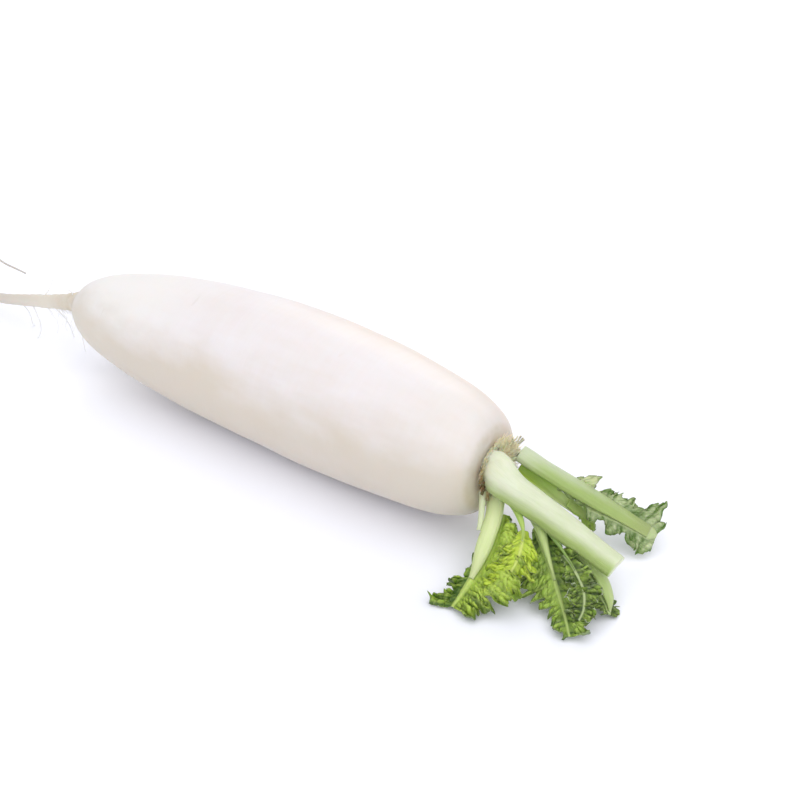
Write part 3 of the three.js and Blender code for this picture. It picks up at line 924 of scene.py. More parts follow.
@dataclass(frozen=True)
class Stalk:
    """A stalk's section along its spine, where it ends, and how deep its inner groove is.

    Over the last part of its length, the share ``fade``, it sinks into the blade's midrib:
    the shares ``least`` of its width and ``flat`` of its thickness are left at the end.
    Near its base the left edge clasps the crown, moved by ``clasp`` millimetres.
    """

    widths: Row
    thicknesses: Row
    end: float
    groove: float
    fade: float = 0.0
    least: float = 0.3
    flat: float = 0.3
    clasp: Row = (0.0, 0.0, 0.0)

    def size(self, t: Array) -> tuple[Array, Array]:
        """Look up the section, which stays as it is past the stalk's end.

        Args:
            t: Places along the spine.

        Returns:
            The width and the thickness.
        """
        held = np.minimum(t, self.end)
        start = self.end * (1.0 - self.fade)
        sunk = step(start, self.end * 1.02, held) if self.fade else 0.0 * held
        width = curve(self.widths, held) * (1.0 - (1.0 - self.least) * sunk)
        return width, curve(self.thicknesses, held) * (1.0 - (1.0 - self.flat) * sunk)


@dataclass(frozen=True)
class Side:
    """One side of a blade: its margin, how it rises and curls, its lobes and its shade.

    Each lobe is (place along the blade, how far it stands out, half its width).  The shade
    runs along the blade, 0 for bright green and 1 for dark: partly the leaf's own darker green,
    partly painted shade.  The swell is a rounded fold of that height, in millimetres, half-way
    out.  Between the lobes of the side veins, the margin is cut in by about the share ``notch``.
    """

    margin: Row
    rise: Row
    curl: float
    lobes: Table
    shade: Row = (0.5, 0.5)
    swell: float = 0.0
    notch: float = 0.3

    def reach(self, s: Array, length: float) -> Array:
        """Return how far the side stands out from the rib: its margin plus round lobes.

        A lobe's edge is the upper half of an ellipse: the root of 1 - offset^2.

        Args:
            s: Shares along the blade.
            length: The blade's length in millimetres.

        Returns:
            Millimetres out, one for each share.
        """
        lobe = np.zeros_like(s)
        for middle, size, half_width in self.lobes:
            offset = (s - middle) * length / half_width
            lobe = np.maximum(lobe, size * np.sqrt(np.clip(1.0 - offset**2, 0.0, None)))
        return curve(self.margin, s) + lobe


@dataclass(frozen=True)
class Blade:
    """The thin blade under a stalk: where it runs along the spine and its two sides.

    Side veins stand about ``pitch`` millimetres apart, each with its lobe, and the blade is
    pleated along them.  Between finer veins it is crumpled in cells of size ``cell``.
    """

    start: float
    stop: float
    lean: float
    ruffle: float
    waves: float
    left: Side
    right: Side
    pitch: float = 5.0
    pleat: float = 1.0
    tip_curl: float = 2.5
    cell: float = 3.0
    crumple: float = 0.8
    frill: float = 1.1
    teeth: float = 1.3

    def outline(self, side: Side, row: Array, open_part: Array, seed: float) -> Array:
        """Return how far the margin is cut in at each place along the blade.

        A whole number of ``row`` is a notch between two lobes: the cut grows from 0 at the
        lobe's middle with the power 2.2 of the offset.  Each lobe has three pointed teeth,
        which rise slowly and fall quickly towards the blade's tip.

        Args:
            side: The side whose margin it is.
            row: Place along, counted in side veins.
            open_part: How far the side stands out from the stalk's edge, in millimetres.
            seed: Picks the random numbers.

        Returns:
            Millimetres cut away, in the shape of ``row``.
        """
        off = 2.0 * (row - np.floor(row)) - 1.0
        depth = side.notch * (0.2 + 1.5 * scatter(np.round(row), seed + 1.9))
        cut = np.clip(depth * np.abs(off) ** 2.2, 0, 0.88)
        count = 3.0 * row + 0.25 * np.sin(5.0 * row + seed)
        share = count - np.floor(count)
        tooth = share**1.3 * (1.0 - step(0.8, 1.0, share))
        size = np.minimum(0.2 * open_part, self.teeth)
        size = size * (0.5 + scatter(np.floor(count), seed + 8.8))
        return open_part * cut + size * (1.0 - tooth) * step(1.0, 4.0, open_part)

    def relief(
        self, row: Array, along: Array, past: Array, share: Array, seed: float
    ) -> tuple[Array, Marks]:
        """Return the blade's fine height over its smooth surface, and the marks that go with it.

        It is the sum of pleats that crest between the side veins, sharp folds where slow
        waves cross zero, puckers over the cells of the vein net, a frill that grows towards
        the margin with the third power of the share out, and lobe tips that curl.

        Args:
            row: Place along, counted in side veins.
            along: Place along in millimetres, one column.
            past: Distance out from the stalk's edge in millimetres.
            share: Share out from the rib, 0 to 1.
            seed: Picks the random numbers.

        Returns:
            The height in millimetres, and the marks vein, net and crest.
        """
        number = np.floor(row)
        off = 2.0 * (row - number) - 1.0
        chance, bend, turn_up = (scatter(number, seed + k) for k in (0.0, 3.1, 7.7))
        outer = step(0.3, 4.0, past)
        forward = along - 0.6 * past
        away = off * self.pitch / 2
        pleats = self.pleat * (0.4 + chance) * (np.abs(off) ** 0.8 - 0.55) * outer
        fold = ripples(forward, past * 0.8, 9.0, int(seed) + 40)
        sharp = 0.75 * self.crumple * (0.6 - np.abs(fold)) * outer
        cells = pillows(forward, past * 0.85, self.cell, seed)
        pucker = self.crumple * (step(0.0, 0.5, cells) - 0.45) * step(0.6, 3.5, past)
        small = 0.14 * ripples(forward, past, 1.5, int(seed) + 60) * outer
        waving = np.sin(TAU * (row * 1.7 + 0.5 * turn_up) + 3.0 * share)
        frill = self.frill * share**3 * waving * outer
        curled = self.tip_curl * (bend - 0.35) * (1.0 - off**2) * share**4 * outer
        height = pleats + sharp + pucker + small + frill + curled
        side_vein = bell(away, 0.3) * (1.0 - 0.75 * share) * outer
        # Painted light and shade: the crest mark is higher on raised relief, lower near side
        # veins.
        crest = 0.5 + 0.45 * (height - 0.6 * curled) - 0.25 * bell(away, 0.9)
        return height - 0.35 * side_vein, {
            "vein": np.maximum(side_vein, bell(past, 0.4)),
            "net": (1.0 - step(0.0, 0.22, cells)) * outer,
            "crest": np.clip(crest, 0, 1),
        }


@dataclass
class Leaf:
    """A cut leaf: a ribbed stalk and, on most, a crinkled blade under it.

    The back of the stalk turns evenly from the direction ``base_face`` to ``end_face``.  A
    stalk without a blade is its own node; the others are the node's name with an ending.
    The blade lies where its solid does, which is ``solid_blade`` thick and a ``gap`` under
    the stalk, and it stays ``inset`` inside the solid's box.
    """

    node: str
    seed: int
    spine: Table
    base_face: Row
    end_face: Row
    stalk: Stalk
    flesh: StalkFinish
    blade: Blade | None = None
    green: BladeFinish | None = None
    slot: Slot = Slot.LEAF_STALK
    stalk_rings: int = 150
    stalk_sides: int = 64
    ribs: int = 13
    cap: Row = (0.985, 0.94, 0.8, 0.6, 0.4, 0.2, 0.05)
    blade_step: float = 0.28
    blade_columns: int = 48
    gap: float = 0.3
    solid_blade: float = 0.9
    thin_blade: float = 0.45
    inset: float = 0.4
    softness: float = 1.2

    @property
    def length(self) -> float:
        """The spine's length in millimetres."""
        points = curve(self.spine, np.linspace(0, 1, 201))
        return float(np.linalg.norm(np.diff(points, axis=0), axis=1).sum())

    def frame(self, t: Array) -> tuple[Array, Array, Array, Array]:
        """Look up the spine, which goes on straight past its end.

        Args:
            t: Places along it, 1 at its end.

        Returns:
            Its points, and the directions along, left and out of the stalk's back.
        """
        inside = np.clip(t, 0.0, 1.0)
        near, far = (curve(self.spine, np.clip(inside + k, 0, 1)) for k in (-1e-4, 1e-4))
        tangent = unit(far - near)
        point = curve(self.spine, inside) + tangent * ((t - inside) * self.length)[..., None]
        base, end = np.array(self.base_face), np.array(self.end_face)
        left = unit(np.cross(base + (end - base) * inside[..., None], tangent))
        return point, tangent, left, np.cross(tangent, left)

    def stalk_patch(self) -> Patch:
        """Return the stalk: its section carried along the spine, ribbed, with a cut face.

        The section is cos a across.  Its rounded back rises by 0.6 sin a, and its inner side
        by 0.4 sin a (1 - g sin^2 a), which dips in the middle for a groove g over one.
        """
        t = np.linspace(0.0, self.stalk.end, self.stalk_rings)
        point, tangent, left, out = self.frame(t)
        angle = np.arange(self.stalk_sides) * TAU / self.stalk_sides
        across, sine = np.cos(angle), np.sin(angle)
        inner = 0.4 * sine * (1.0 - self.stalk.groove * sine**2)
        rise = np.where(sine > 0, 0.6 * sine, inner)
        width, thick = (size[:, None] for size in self.stalk.size(t))
        along = (t * self.length)[:, None]
        ribs = np.cos(angle * self.ribs + 0.6 * np.sin(along * 0.06))
        uneven = ripples(along, angle * 6, 14, self.seed)
        shrink = 1.0 - 0.012 * (1.0 + ribs) - 0.010 * (1 + uneven)
        x, y = (width / 2) * across * shrink, thick * rise * shrink
        body = point[:, None] + x[..., None] * left[:, None] + y[..., None] * out[:, None]
        clasped = (step(-0.06, 0.08, t) * (1.0 - step(0.1, 0.42, t)))[:, None]
        clasped = clasped * step(0.0, 1.0, across)
        body = body + clasped[..., None] * np.array(self.stalk.clasp)
        inward = np.array(self.cap)[:, None, None]
        middle, dish = body[-1].mean(axis=0), -0.5 * (1.0 - inward) * tangent[-1]
        rings = np.concatenate([body, middle + (body[-1] - middle) * inward + dish])
        whole = np.ones(rings.shape[:2])
        share = np.concatenate([t, np.full(len(inward), t[-1])])[:, None] * whole
        cut = np.repeat([0.0, 0.5, 1.0], [len(t) - 1, 1, len(inward)])[:, None] * whole
        arc = np.cumsum(np.hypot(np.gradient(across), np.gradient(rise * 2)))
        round_way = np.minimum(arc, arc[-1] - arc) * float(np.mean(self.stalk.widths)) / 2
        flow = np.stack([share * self.length, round_way * whole, 0 * whole], axis=-1)
        return tube(rings, {"share": share, "cut": cut, "flow": flow, "side": across * whole})

    def side_grid(
        self, blade: Blade, left: bool, s: Array, a: Array, length: float
    ) -> tuple[Array, Marks]:
        """Return one side of the blade's middle surface and its marks.

        At share s along and a out from the rib, the surface runs flat under the stalk and
        then as an arc of the side's curl, starting at the side's rise.  It leans forward and
        waves with a^2, and the relief is added along the spine's outward direction.

        Args:
            blade: The blade.
            left: True for the left side.
            s: Shares along, one for each row.
            a: Shares out from the rib, one for each column.
            length: The blade's length in millimetres.

        Returns:
            The points, (row, column, 3), and the marks.
        """
        side, sign, turn = (blade.left, 1.0, 0.0) if left else (blade.right, -1.0, 1.7)
        seed = self.seed * 2.0 + left
        t = blade.start + (blade.stop - blade.start) * s
        point, tangent, to_left, out = self.frame(t)
        width, thick = self.stalk.size(t)
        gone = step(self.stalk.end, 1.02, t)
        rib = (width / 2 * (1.0 - 0.8 * gone))[:, None]
        drop = (0.4 * thick + self.gap + self.solid_blade / 2) * (1.0 - 0.5 * gone)
        along = (s * length)[:, None]
        row = along / blade.pitch + 0.2 * np.sin(along * 4.0 / blade.pitch + seed) + 0.5 * left
        full = side.reach(s, length)[:, None]
        full = full - blade.outline(side, row, np.maximum(full - rib, 0.0), seed)
        share = a[None, :] * np.ones((len(s), 1))
        distance = share * full
        past = np.maximum(distance - rib, 0.0)
        curl = side.curl + 1e-6
        start = curve(side.rise, s)[:, None]
        turned = start + curl * past
        lateral = np.minimum(distance, rib) + (np.sin(turned) - np.sin(start)) / curl
        up = (np.cos(start) - np.cos(turned)) / curl
        wave = np.sin(TAU * blade.waves * s[:, None] + 2.5 * share + turn)
        swell = side.swell * bell(share - 0.55, 0.27) * step(0.3, 4.0, past)
        swell *= step(0.0, 0.15, s)[:, None] * (1.0 - step(0.7, 1.0, s)[:, None])
        fine, marks = blade.relief(row, along, past, share, seed)
        round_rib = np.sqrt(np.clip(1.0 - (distance / (rib + 0.2)) ** 2, 0, 1))
        midrib = 0.9 * np.minimum(rib, 1.5) * round_rib * (t > self.stalk.end)[:, None]
        lift = up - drop[:, None] + blade.ruffle * share**2 * wave + swell + fine + midrib
        wander = 0.7 * share**2 * ripples(along, past, 6.0, int(seed) + 80)
        placed = (
            point[:, None]
            + sign * lateral[..., None] * to_left[:, None]
            + (blade.lean * past + wander)[..., None] * tangent[:, None]
            + lift[..., None] * out[:, None]
        )
        whole = np.ones_like(past)
        flow = [along * whole, sign * distance, seed * 17.0 * whole]
        marks["flow"] = np.stack(flow, axis=-1)
        marks["rim"] = share
        # Partly the leaf's own darker green, partly painted shade.
        marks["shade"] = curve(side.shade, s)[:, None] * whole
        return placed, marks

    def blade_patch(self, blade: Blade) -> Patch:
        """Make the blade: one closed thin sheet, held inside the box of its solid.

        Args:
            blade: The blade.

        Returns:
            The patch, with the right side, the rib and the left side in each row.
        """
        length = (blade.stop - blade.start) * self.length
        s = np.linspace(0.0, 1.0, int(length / self.blade_step))
        a = np.linspace(0.0, 1.0, self.blade_columns)
        left, marks = self.side_grid(blade, True, s, a, length)
        right, right_marks = self.side_grid(blade, False, s, a, length)
        for name, values in marks.items():
            marks[name] = np.concatenate([right_marks[name][:, :0:-1], values], axis=1)
        middle = np.concatenate([right[:, :0:-1], left], axis=1)
        low, high = (np.array(corner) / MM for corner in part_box(self.node + "_blade"))
        middle = held_inside(middle, low + self.inset, high - self.inset, self.softness)
        return sheet(middle, self.thin_blade * (1.15 - 0.55 * marks["rim"] ** 3), marks)

    def build(self) -> None:
        """Build and dress the stalk and the blade."""
        stalk = self.node + ("_stalk" if self.blade else "")
        flesh = self.flesh.material(self.node + "_flesh")
        add_piece(stalk + "_ribbed", self.stalk_patch(), flesh, self.slot, stalk)
        if self.blade and self.green:
            node, green = self.node + "_blade", self.green.material(self.node + "_green")
            add_piece(node + "_crinkled", self.blade_patch(self.blade), green, Slot.BLADE, node)


# The cut leaves, each with the spine, section and sides of its solids.
LEAVES = (
    Leaf(
        "stalk_broad", 2, slot=Slot.PALE_STALK,
        spine=((119.5, -13.2, 43), (130, -15.2, 41), (147, -13.4, 34), (169, -12.6, 25.5),
               (193, -14, 18.4)),
        base_face=(0.3, -0.95, -0.1), end_face=(0.3, -0.45, 0.84),
        stalk=Stalk((20.5, 17.4, 15, 13.6, 12.2), (4.6, 8.4, 8.4, 7.6, 6.4), 1.0, 0.9,
                    clasp=(3.0, 4.6, 0.2)),
        flesh=StalkFinish((0.715, 0.745, 0.56), (0.39, 0.50, 0.155), 0.25, 0.9),
    ),
    Leaf(
        "leaf_far", 3,
        spine=((126, 8, 42), (141, 10.5, 36), (158, 17, 27), (173, 22.6, 19.5),
               (191.5, 27.8, 11)),
        base_face=(0.1, 0.1, 1), end_face=(0.3, -0.3, 0.9),
        stalk=Stalk((12, 12, 12, 12.6, 13), (7, 6, 5.2, 4, 2.8), 0.965, 0.5, fade=0.55,
                    least=0.55, flat=0.15),
        flesh=StalkFinish((0.56, 0.625, 0.41), (0.36, 0.475, 0.14), 0.95, 0.8),
        blade=Blade(
            0.34, 1.01, 0.3, 0.8, 9,
            Side((6, 7, 7.5, 9, 10, 9), (1.1, 1.2, 0.8, 0.35, 0.3, 0.5), 0.02,
                 ((0.21, 11, 4.8), (0.46, 4, 6), (0.64, 3, 4), (0.86, 8, 4)),
                 shade=(-0.3, -0.3, 0.5, 0.75, 0.85, 0.75), notch=0.12),
            Side((4, 5, 7, 8, 9, 8.5), (-0.3, -0.5, -0.5, -0.5, -0.4, -0.5), -0.03,
                 ((0.38, 4, 4), (0.6, 4, 4.5), (0.86, 4, 6)), shade=(0.8, 0.75, 0.75, 0.8, 0.8),
                 notch=0.25),
            pitch=5.5, pleat=0.4, tip_curl=1.5, crumple=0.4, frill=0.8,
        ),
        green=BladeFinish((0.70, 0.75, 0.46), (0.07, 0.14, 0.015), (0.52, 0.60, 0.30),
                          margin=0.6),
    ),
    Leaf(
        "leaf_small", 4,
        spine=((128.5, 4.5, 37.5), (139.5, 7.2, 31.5), (149, 11, 23.5), (157, 16, 15.5),
               (162.5, 20.5, 9)),
        base_face=(0.2, 0.6, -0.77), end_face=(0.1, 0.3, -0.95),
        stalk=Stalk((7.5, 7, 6, 4.6, 3.4), (4, 3.6, 3.2, 2.8, 2.4), 0.94, 1.5),
        flesh=StalkFinish((0.38, 0.51, 0.08), (0.60, 0.68, 0.38), 1.3, 0.0),
        blade=Blade(
            0.55, 1.0, 0.3, 0.6, 4,
            Side((3, 4, 5, 5), (0.4, 0.3, 0.2, 0.2), 0.05, ((0.7, 3, 5),)),
            Side((3, 3.5, 4, 4), (0.4, 0.3, 0.2, 0.2), 0.05, ((0.8, 3, 4),)),
            pitch=4.0, pleat=0.6, tip_curl=1.0,
        ),
        green=BladeFinish((0.34, 0.46, 0.06), (0.05, 0.10, 0.006), (0.45, 0.56, 0.22),
                          underside=(0.34, 0.46, 0.10)),
    ),
    Leaf(
        "leaf_left", 5,
        spine=((125.5, -11, 27), (130.7, -20.8, 23), (134.7, -33.6, 17.5), (137.6, -46.6, 10),
               (138, -56, 5.5), (138.6, -65.5, 3)),
        base_face=(0, -0.35, 0.94), end_face=(-0.05, 0.1, 1),
        stalk=Stalk((9, 8.6, 8.4, 8.6, 6, 3), (5.5, 5, 4.6, 4.4, 3, 2), 0.66, 0.4,
                    fade=0.42, least=0.34),
        flesh=StalkFinish((0.69, 0.765, 0.41), (0.51, 0.62, 0.22), 0.5),
        blade=Blade(
            0.14, 1.0, 0.35, 1.7, 9,
            Side((8, 19, 26, 26, 19, 12, 8), (0.3, 0.4, 0.35, 0.25, 0.15, 0.05, 0), 0.004,
                 ((0.55, 4, 6), (0.74, 4, 5), (0.93, 5, 6)),
                 shade=(0.35, 0.05, 0.0, 0.1, 0.35, 0.55, 0.7), swell=4.0),
            Side((4.4, 4.4, 4.4, 4.8, 7, 8, 6), (0, 0, 0, 0.1, 0.25, 0.2, 0), 0.01,
                 ((0.66, 4, 4), (0.95, 6.5, 4.5)), shade=(0.5, 0.6, 0.9, 0.9)),
            pitch=4.6, pleat=1.5, crumple=0.9,
        ),
        green=BladeFinish((0.41, 0.56, 0.08), (0.035, 0.09, 0.004), (0.58, 0.71, 0.19)),
    ),
    Leaf(
        "leaf_mid", 6,
        spine=((126, -5, 25.5), (141, -8.2, 25.5), (151.5, -13.7, 22.5), (160.2, -21.1, 17.5),
               (170, -29.5, 11.5), (181, -39.5, 6.5), (191.5, -51, 3)),
        base_face=(0, -0.3, 0.95), end_face=(-0.05, 0, 1),
        stalk=Stalk((5, 5, 5.2, 5, 4, 3, 2.4), (4, 4, 4, 3.4, 2.4, 2, 2), 0.68, 0.3, fade=0.6),
        flesh=StalkFinish((0.58, 0.70, 0.29), (0.37, 0.53, 0.13), 0.4),
        blade=Blade(
            0.3, 1.0, 0.4, 1.4, 9,
            Side((3, 7, 11, 12, 11, 9, 6), (0.1, 0.3, 0.4, 0.4, 0.35, 0.2, 0.1), 0.02,
                 ((0.35, 5, 4), (0.52, 5, 4), (0.7, 5, 4.5), (0.9, 5, 5)),
                 shade=(0.9, 0.95, 0.8, 0.8, 0.7, 0.8)),
            Side((3, 7, 13, 13.5, 9, 5, 4), (-0.5, -0.5, -0.4, -0.3, -0.1, 0, 0), 0.01,
                 ((0.4, 4, 4.5), (0.55, 5, 4.5), (0.7, 3, 4), (0.88, 3, 5)),
                 shade=(0.9, 0.7, 0.4, 0.2, 0.5, 0.7)),
            pitch=4.8, pleat=1.7, tip_curl=3.5,
        ),
        green=BladeFinish((0.36, 0.51, 0.09), (0.02, 0.055, 0.003), (0.53, 0.66, 0.22)),
    ),
    Leaf(
        "leaf_right", 7,
        spine=((126, 2, 28), (140, 0, 25), (155, -5, 20.5), (169, -10.5, 16.5),
               (180.5, -13.4, 13), (189, -17.5, 10), (195, -22.5, 6.5), (199, -28, 3.6)),
        base_face=(0.1, 0.1, 1), end_face=(0.5, 0.3, 0.8),
        stalk=Stalk((9, 8, 8, 8, 8, 8, 6, 4), (5, 4.6, 4.2, 3.8, 3.4, 3, 2.6, 2), 0.97, 0.6,
                    fade=0.15),
        flesh=StalkFinish((0.56, 0.66, 0.29), (0.34, 0.47, 0.13), 0.4),
        blade=Blade(
            0.4, 1.0, 0.2, 1.1, 8,
            Side((4.4, 4.4, 4.4, 5, 5), (0, 0), 0.0, ((0.9, 3, 4),), shade=(0.7, 0.8)),
            Side((5, 9, 11, 10, 6), (-0.3, -0.35, -0.3, -0.2, -0.1), 0.015,
                 ((0.4, 4, 4.5), (0.62, 4, 4.5), (0.85, 4, 4.5)), shade=(0.9, 0.8, 0.7, 0.8)),
            pitch=4.6, pleat=1.3, tip_curl=3.5,
        ),
        green=BladeFinish((0.33, 0.46, 0.09), (0.02, 0.05, 0.003), (0.55, 0.66, 0.30)),
    ),
    Leaf(
        "leaf_inner", 9,
        spine=((126.5, -9.5, 30.5), (138, -14.5, 28.5), (147.5, -22.5, 27), (153, -31, 25.5),
               (155.5, -38.5, 21.5), (155.5, -45.5, 16.5), (154, -52.5, 12)),
        base_face=(0.1, -0.3, 0.95), end_face=(0.1, 0, 1),
        stalk=Stalk((4, 3.6, 2.8, 2.2, 2, 2, 2), (3, 2.8, 2.2, 1.8, 1.6, 1.6, 1.6), 0.5, 0.3,
                    fade=0.5),
        flesh=StalkFinish((0.45, 0.60, 0.16), (0.30, 0.47, 0.07), 0.5),
        blade=Blade(
            0.36, 1.0, 0.5, 1.3, 6,
            Side((3, 6, 8, 8, 7, 5), (-0.5, -0.35, -0.3, -0.3, -0.2, -0.1), 0.02,
                 ((0.25, 3, 4), (0.5, 4, 4), (0.8, 3, 4)), shade=(0.5, 0.2, 0.2, 0.4, 0.5)),
            Side((3, 6, 8, 9, 8, 5), (0, 0.05, 0.05, 0, 0, 0), 0.02,
                 ((0.3, 3, 4), (0.6, 3, 4.5), (0.9, 3, 4)), shade=(0.3, 0.0, 0.0, 0.2, 0.3)),
            pitch=4.2, pleat=1.2, tip_curl=3.0,
        ),
        green=BladeFinish((0.47, 0.62, 0.06), (0.04, 0.09, 0.004), (0.68, 0.79, 0.22)),
    ),
    Leaf(
        "leaf_curl", 10,
        spine=((127, -3, 31.5), (143, -8, 29), (157, -14.5, 23.5), (168, -20, 20.5),
               (178, -25.5, 17.5), (186, -31, 14), (190.5, -37.5, 9.5), (191.5, -44, 6)),
        base_face=(0, -0.3, 0.95), end_face=(0.15, 0, 1),
        stalk=Stalk((4, 3.6, 3, 2.4, 2, 2, 2, 2), (3, 2.8, 2.4, 2, 1.6, 1.6, 1.6, 1.6), 0.58,
                    0.3, fade=0.6),
        flesh=StalkFinish((0.30, 0.44, 0.12), (0.16, 0.28, 0.05), 0.5),
        blade=Blade(
            0.45, 0.98, 0.25, 1.2, 6,
            Side((3, 5.5, 6.5, 6.5, 5, 3.5), (-0.1, 0.2, 0.3, 0.3, 0.3, 0.2), 0.03,
                 ((0.3, 3, 4), (0.55, 3, 4), (0.85, 3, 4)), shade=(0.8, 0.7, 0.7, 0.8)),
            Side((3, 6, 7.5, 7.5, 6, 5), (0.2, 0.3, 0.3, 0.2, 0.1, 0), 0.03,
                 ((0.25, 3, 4), (0.55, 4, 4), (0.85, 3, 4)), shade=(0.9, 0.8, 0.8, 0.9)),
            pitch=4.2, pleat=1.5, tip_curl=4.0,
        ),
        # The pale edge colour here is a painted highlight on the curled margin.
        green=BladeFinish((0.32, 0.45, 0.09), (0.02, 0.05, 0.003), (0.60, 0.70, 0.36),
                          edge=(0.70, 0.76, 0.58)),
    ),
    Leaf(
        "stalk_thin", 8, slot=Slot.PALE_STALK,
        spine=((121.2, -16.2, 31), (123.4, -19.8, 28), (126.4, -25, 22.5),
               (128.6, -30.5, 17.5)),
        base_face=(-0.3, -0.5, 0.8), end_face=(-0.3, -0.4, 0.85),
        stalk=Stalk((4.2, 3.4, 3, 2.4), (3, 2.6, 2.2, 1.8), 0.9, 0.3),
        flesh=StalkFinish((0.68, 0.74, 0.48), (0.58, 0.67, 0.36), 0.4),
    ),
)


# ---- Crown ----


@dataclass
class Crown:
    """The short stem on the root, with the dry remains of the old leaf bases round it.

    Angles are degrees round the crown, from +Y towards +Z.
    """

    root: Root
    stations: Table = ((0.3, 13.5), (2.2, 12.6), (4.2, 9.4), (5, 4.8), (5.2, 0.4))
    shift: float = 2.5
    dome_rings: int = 40
    dome_sides: int = 120
    scale_count: int = 44
    strips: int = 3
    inset: float = 1.6
    stagger: float = 3.1
    half_width: float = 2.7
    shortest: float = 3.5
    tuft_angle: float = 48.0
    crust_angle: float = 192.0
    stalk_angle: float = 150.0
    wrap_angle: float = 8.0
    scale_rows: int = 20
    scale_columns: int = 7
    fibre_count: int = 420
    fibre_seed: int = 61
    fibre_ring: float = 14.6
    fibre_rings: int = 12

    @property
    def rim(self) -> float:
        """The stem's radius at the root."""
        return self.stations[0][1]

    def centre(self) -> Array:
        """Return the middle of the crown face."""
        return self.root.middle(np.array(self.root.crown_x)) + (0.0, self.shift, 0.0)

    def near(self, angle: Array, middle: float, breadth: float) -> Array:
        """Return a bell curve of angles in radians, with its middle and breadth in degrees."""
        away = np.angle(np.exp(1j * (angle - math.radians(middle))))
        return bell(away, math.radians(breadth))

    def spokes(self, angle: Array) -> tuple[Array, Array]:
        """Return the outward directions at these angles and the directions round the crown."""
        zero, cosine, sine = np.zeros_like(angle), np.cos(angle), np.sin(angle)
        return np.stack([zero, cosine, sine], axis=-1), np.stack([zero, -sine, cosine], axis=-1)

    def dome(self) -> Patch:
        """Return the stem: round rings that close over its top, slightly lumpy."""
        rows = curve(self.stations, np.linspace(0, 1, self.dome_rings))
        angle = np.arange(self.dome_sides) * TAU / self.dome_sides
        lumps = 1.0 - 0.03 * (1 + ripples(rows[:, :1] * 4, 12 * np.sin(angle)[None], 6.0, 31))
        lumps -= 0.02 * (1 + np.cos(angle * 31 + 2 * np.sin(3 * angle)))
        radius = (rows[:, 1:] * lumps)[..., None]
        whole = np.ones(radius.shape[:2])
        rings = rows[:, None, :1] * FORWARD + radius * self.spokes(angle)[0] + self.centre()
        tone = 0.12 + 0.55 * self.near(angle, self.crust_angle, 42) + 0.1 * np.cos(angle * 7)
        tuft = 0.8 * self.near(angle, self.tuft_angle, 60)
        return tube(rings, {"flow": rings * (1, 3, 3), "tone": tone * whole, "tuft": tuft * whole})

    def scales(self) -> Patch:
        """Return the dry scales, each torn lengthwise into narrow strips of thin sheet.

        Every strip starts inside the stem's rim.  It runs forward and leans out with the
        square of the share along it; those that lie behind the broad stalk stay short and
        flat on the root.  The arrays are (strip, row along, column across).
        """
        index = np.repeat(np.arange(self.scale_count), self.strips)[:, None, None]
        strip = np.tile(np.arange(self.strips), self.scale_count)[:, None, None]
        strip = strip - (self.strips - 1) / 2
        own = index * 7 + strip * 3
        first, third, fourth = (scatter(index + 1.0, k) for k in (1.0, 3.0, 4.0))
        second, fifth, sixth = (scatter(own + 40.0, k) for k in (2.0, 5.0, 6.0))
        strip_angle = 2 * self.half_width / self.strips / self.rim
        angle = TAU * (index + 0.6 * first) / self.scale_count + strip * strip_angle
        tuft = self.near(angle, self.tuft_angle, 52)
        crust = self.near(angle, self.crust_angle, 42)
        tucked = self.near(angle, self.stalk_angle, 62)
        wrap = self.near(angle, self.wrap_angle, 20)
        radial, round_way = self.spokes(angle)
        ring = self.rim - self.inset - self.stagger * (index % 4) * (1 - tucked)
        start = self.centre() + FORWARD + radial * ring[..., None]
        length = (self.shortest + 2.4 * second + 2.6 * wrap) * (1 - 0.62 * tucked)
        lean = 0.25 + 0.5 * third + 0.5 * tuft + 1.3 * tucked
        share = np.linspace(0, 1, self.scale_rows)[:, None]
        j = np.linspace(-1, 1, self.scale_columns)
        seed = own * 1.7
        half = self.half_width / self.strips * (1.05 - 0.8 * share**1.6) * (0.6 + 0.7 * fourth)
        forward = length * share * (1.0 - 0.3 * np.abs(np.sin(5.0 * j + seed)) * share**2)
        curl = 0.5 * np.sin(2.2 * forward + seed) * share
        curl = curl + 0.25 * np.sin(4 * j + 3 * forward + seed)
        outward = lean * length * share**2 - 0.3 * j**2 + curl + 1.6 * crust * share
        sideways = half * j + 1.8 * (fifth - 0.5) * share
        whole = np.ones(sideways.shape)
        middle = (
            start
            + forward[..., None] * FORWARD
            + outward[..., None] * radial
            + sideways[..., None] * round_way
        )
        marks = {
            "flow": np.stack([forward + seed, sideways * 2, 0 * whole], axis=-1),
            "tone": (0.75 * crust + 0.2 * sixth * (1 - tuft)) * whole + 0.1 * share * tuft,
            "tuft": np.clip(tuft - 0.7 * wrap + 0.25 * second, 0, 1) * whole,
        }
        thickness = 0.32 * (1.2 - 0.6 * share) * whole
        return Patch.join([
            sheet(middle[k], thickness[k], {name: value[k] for name, value in marks.items()})
            for k in range(len(whole))
        ])

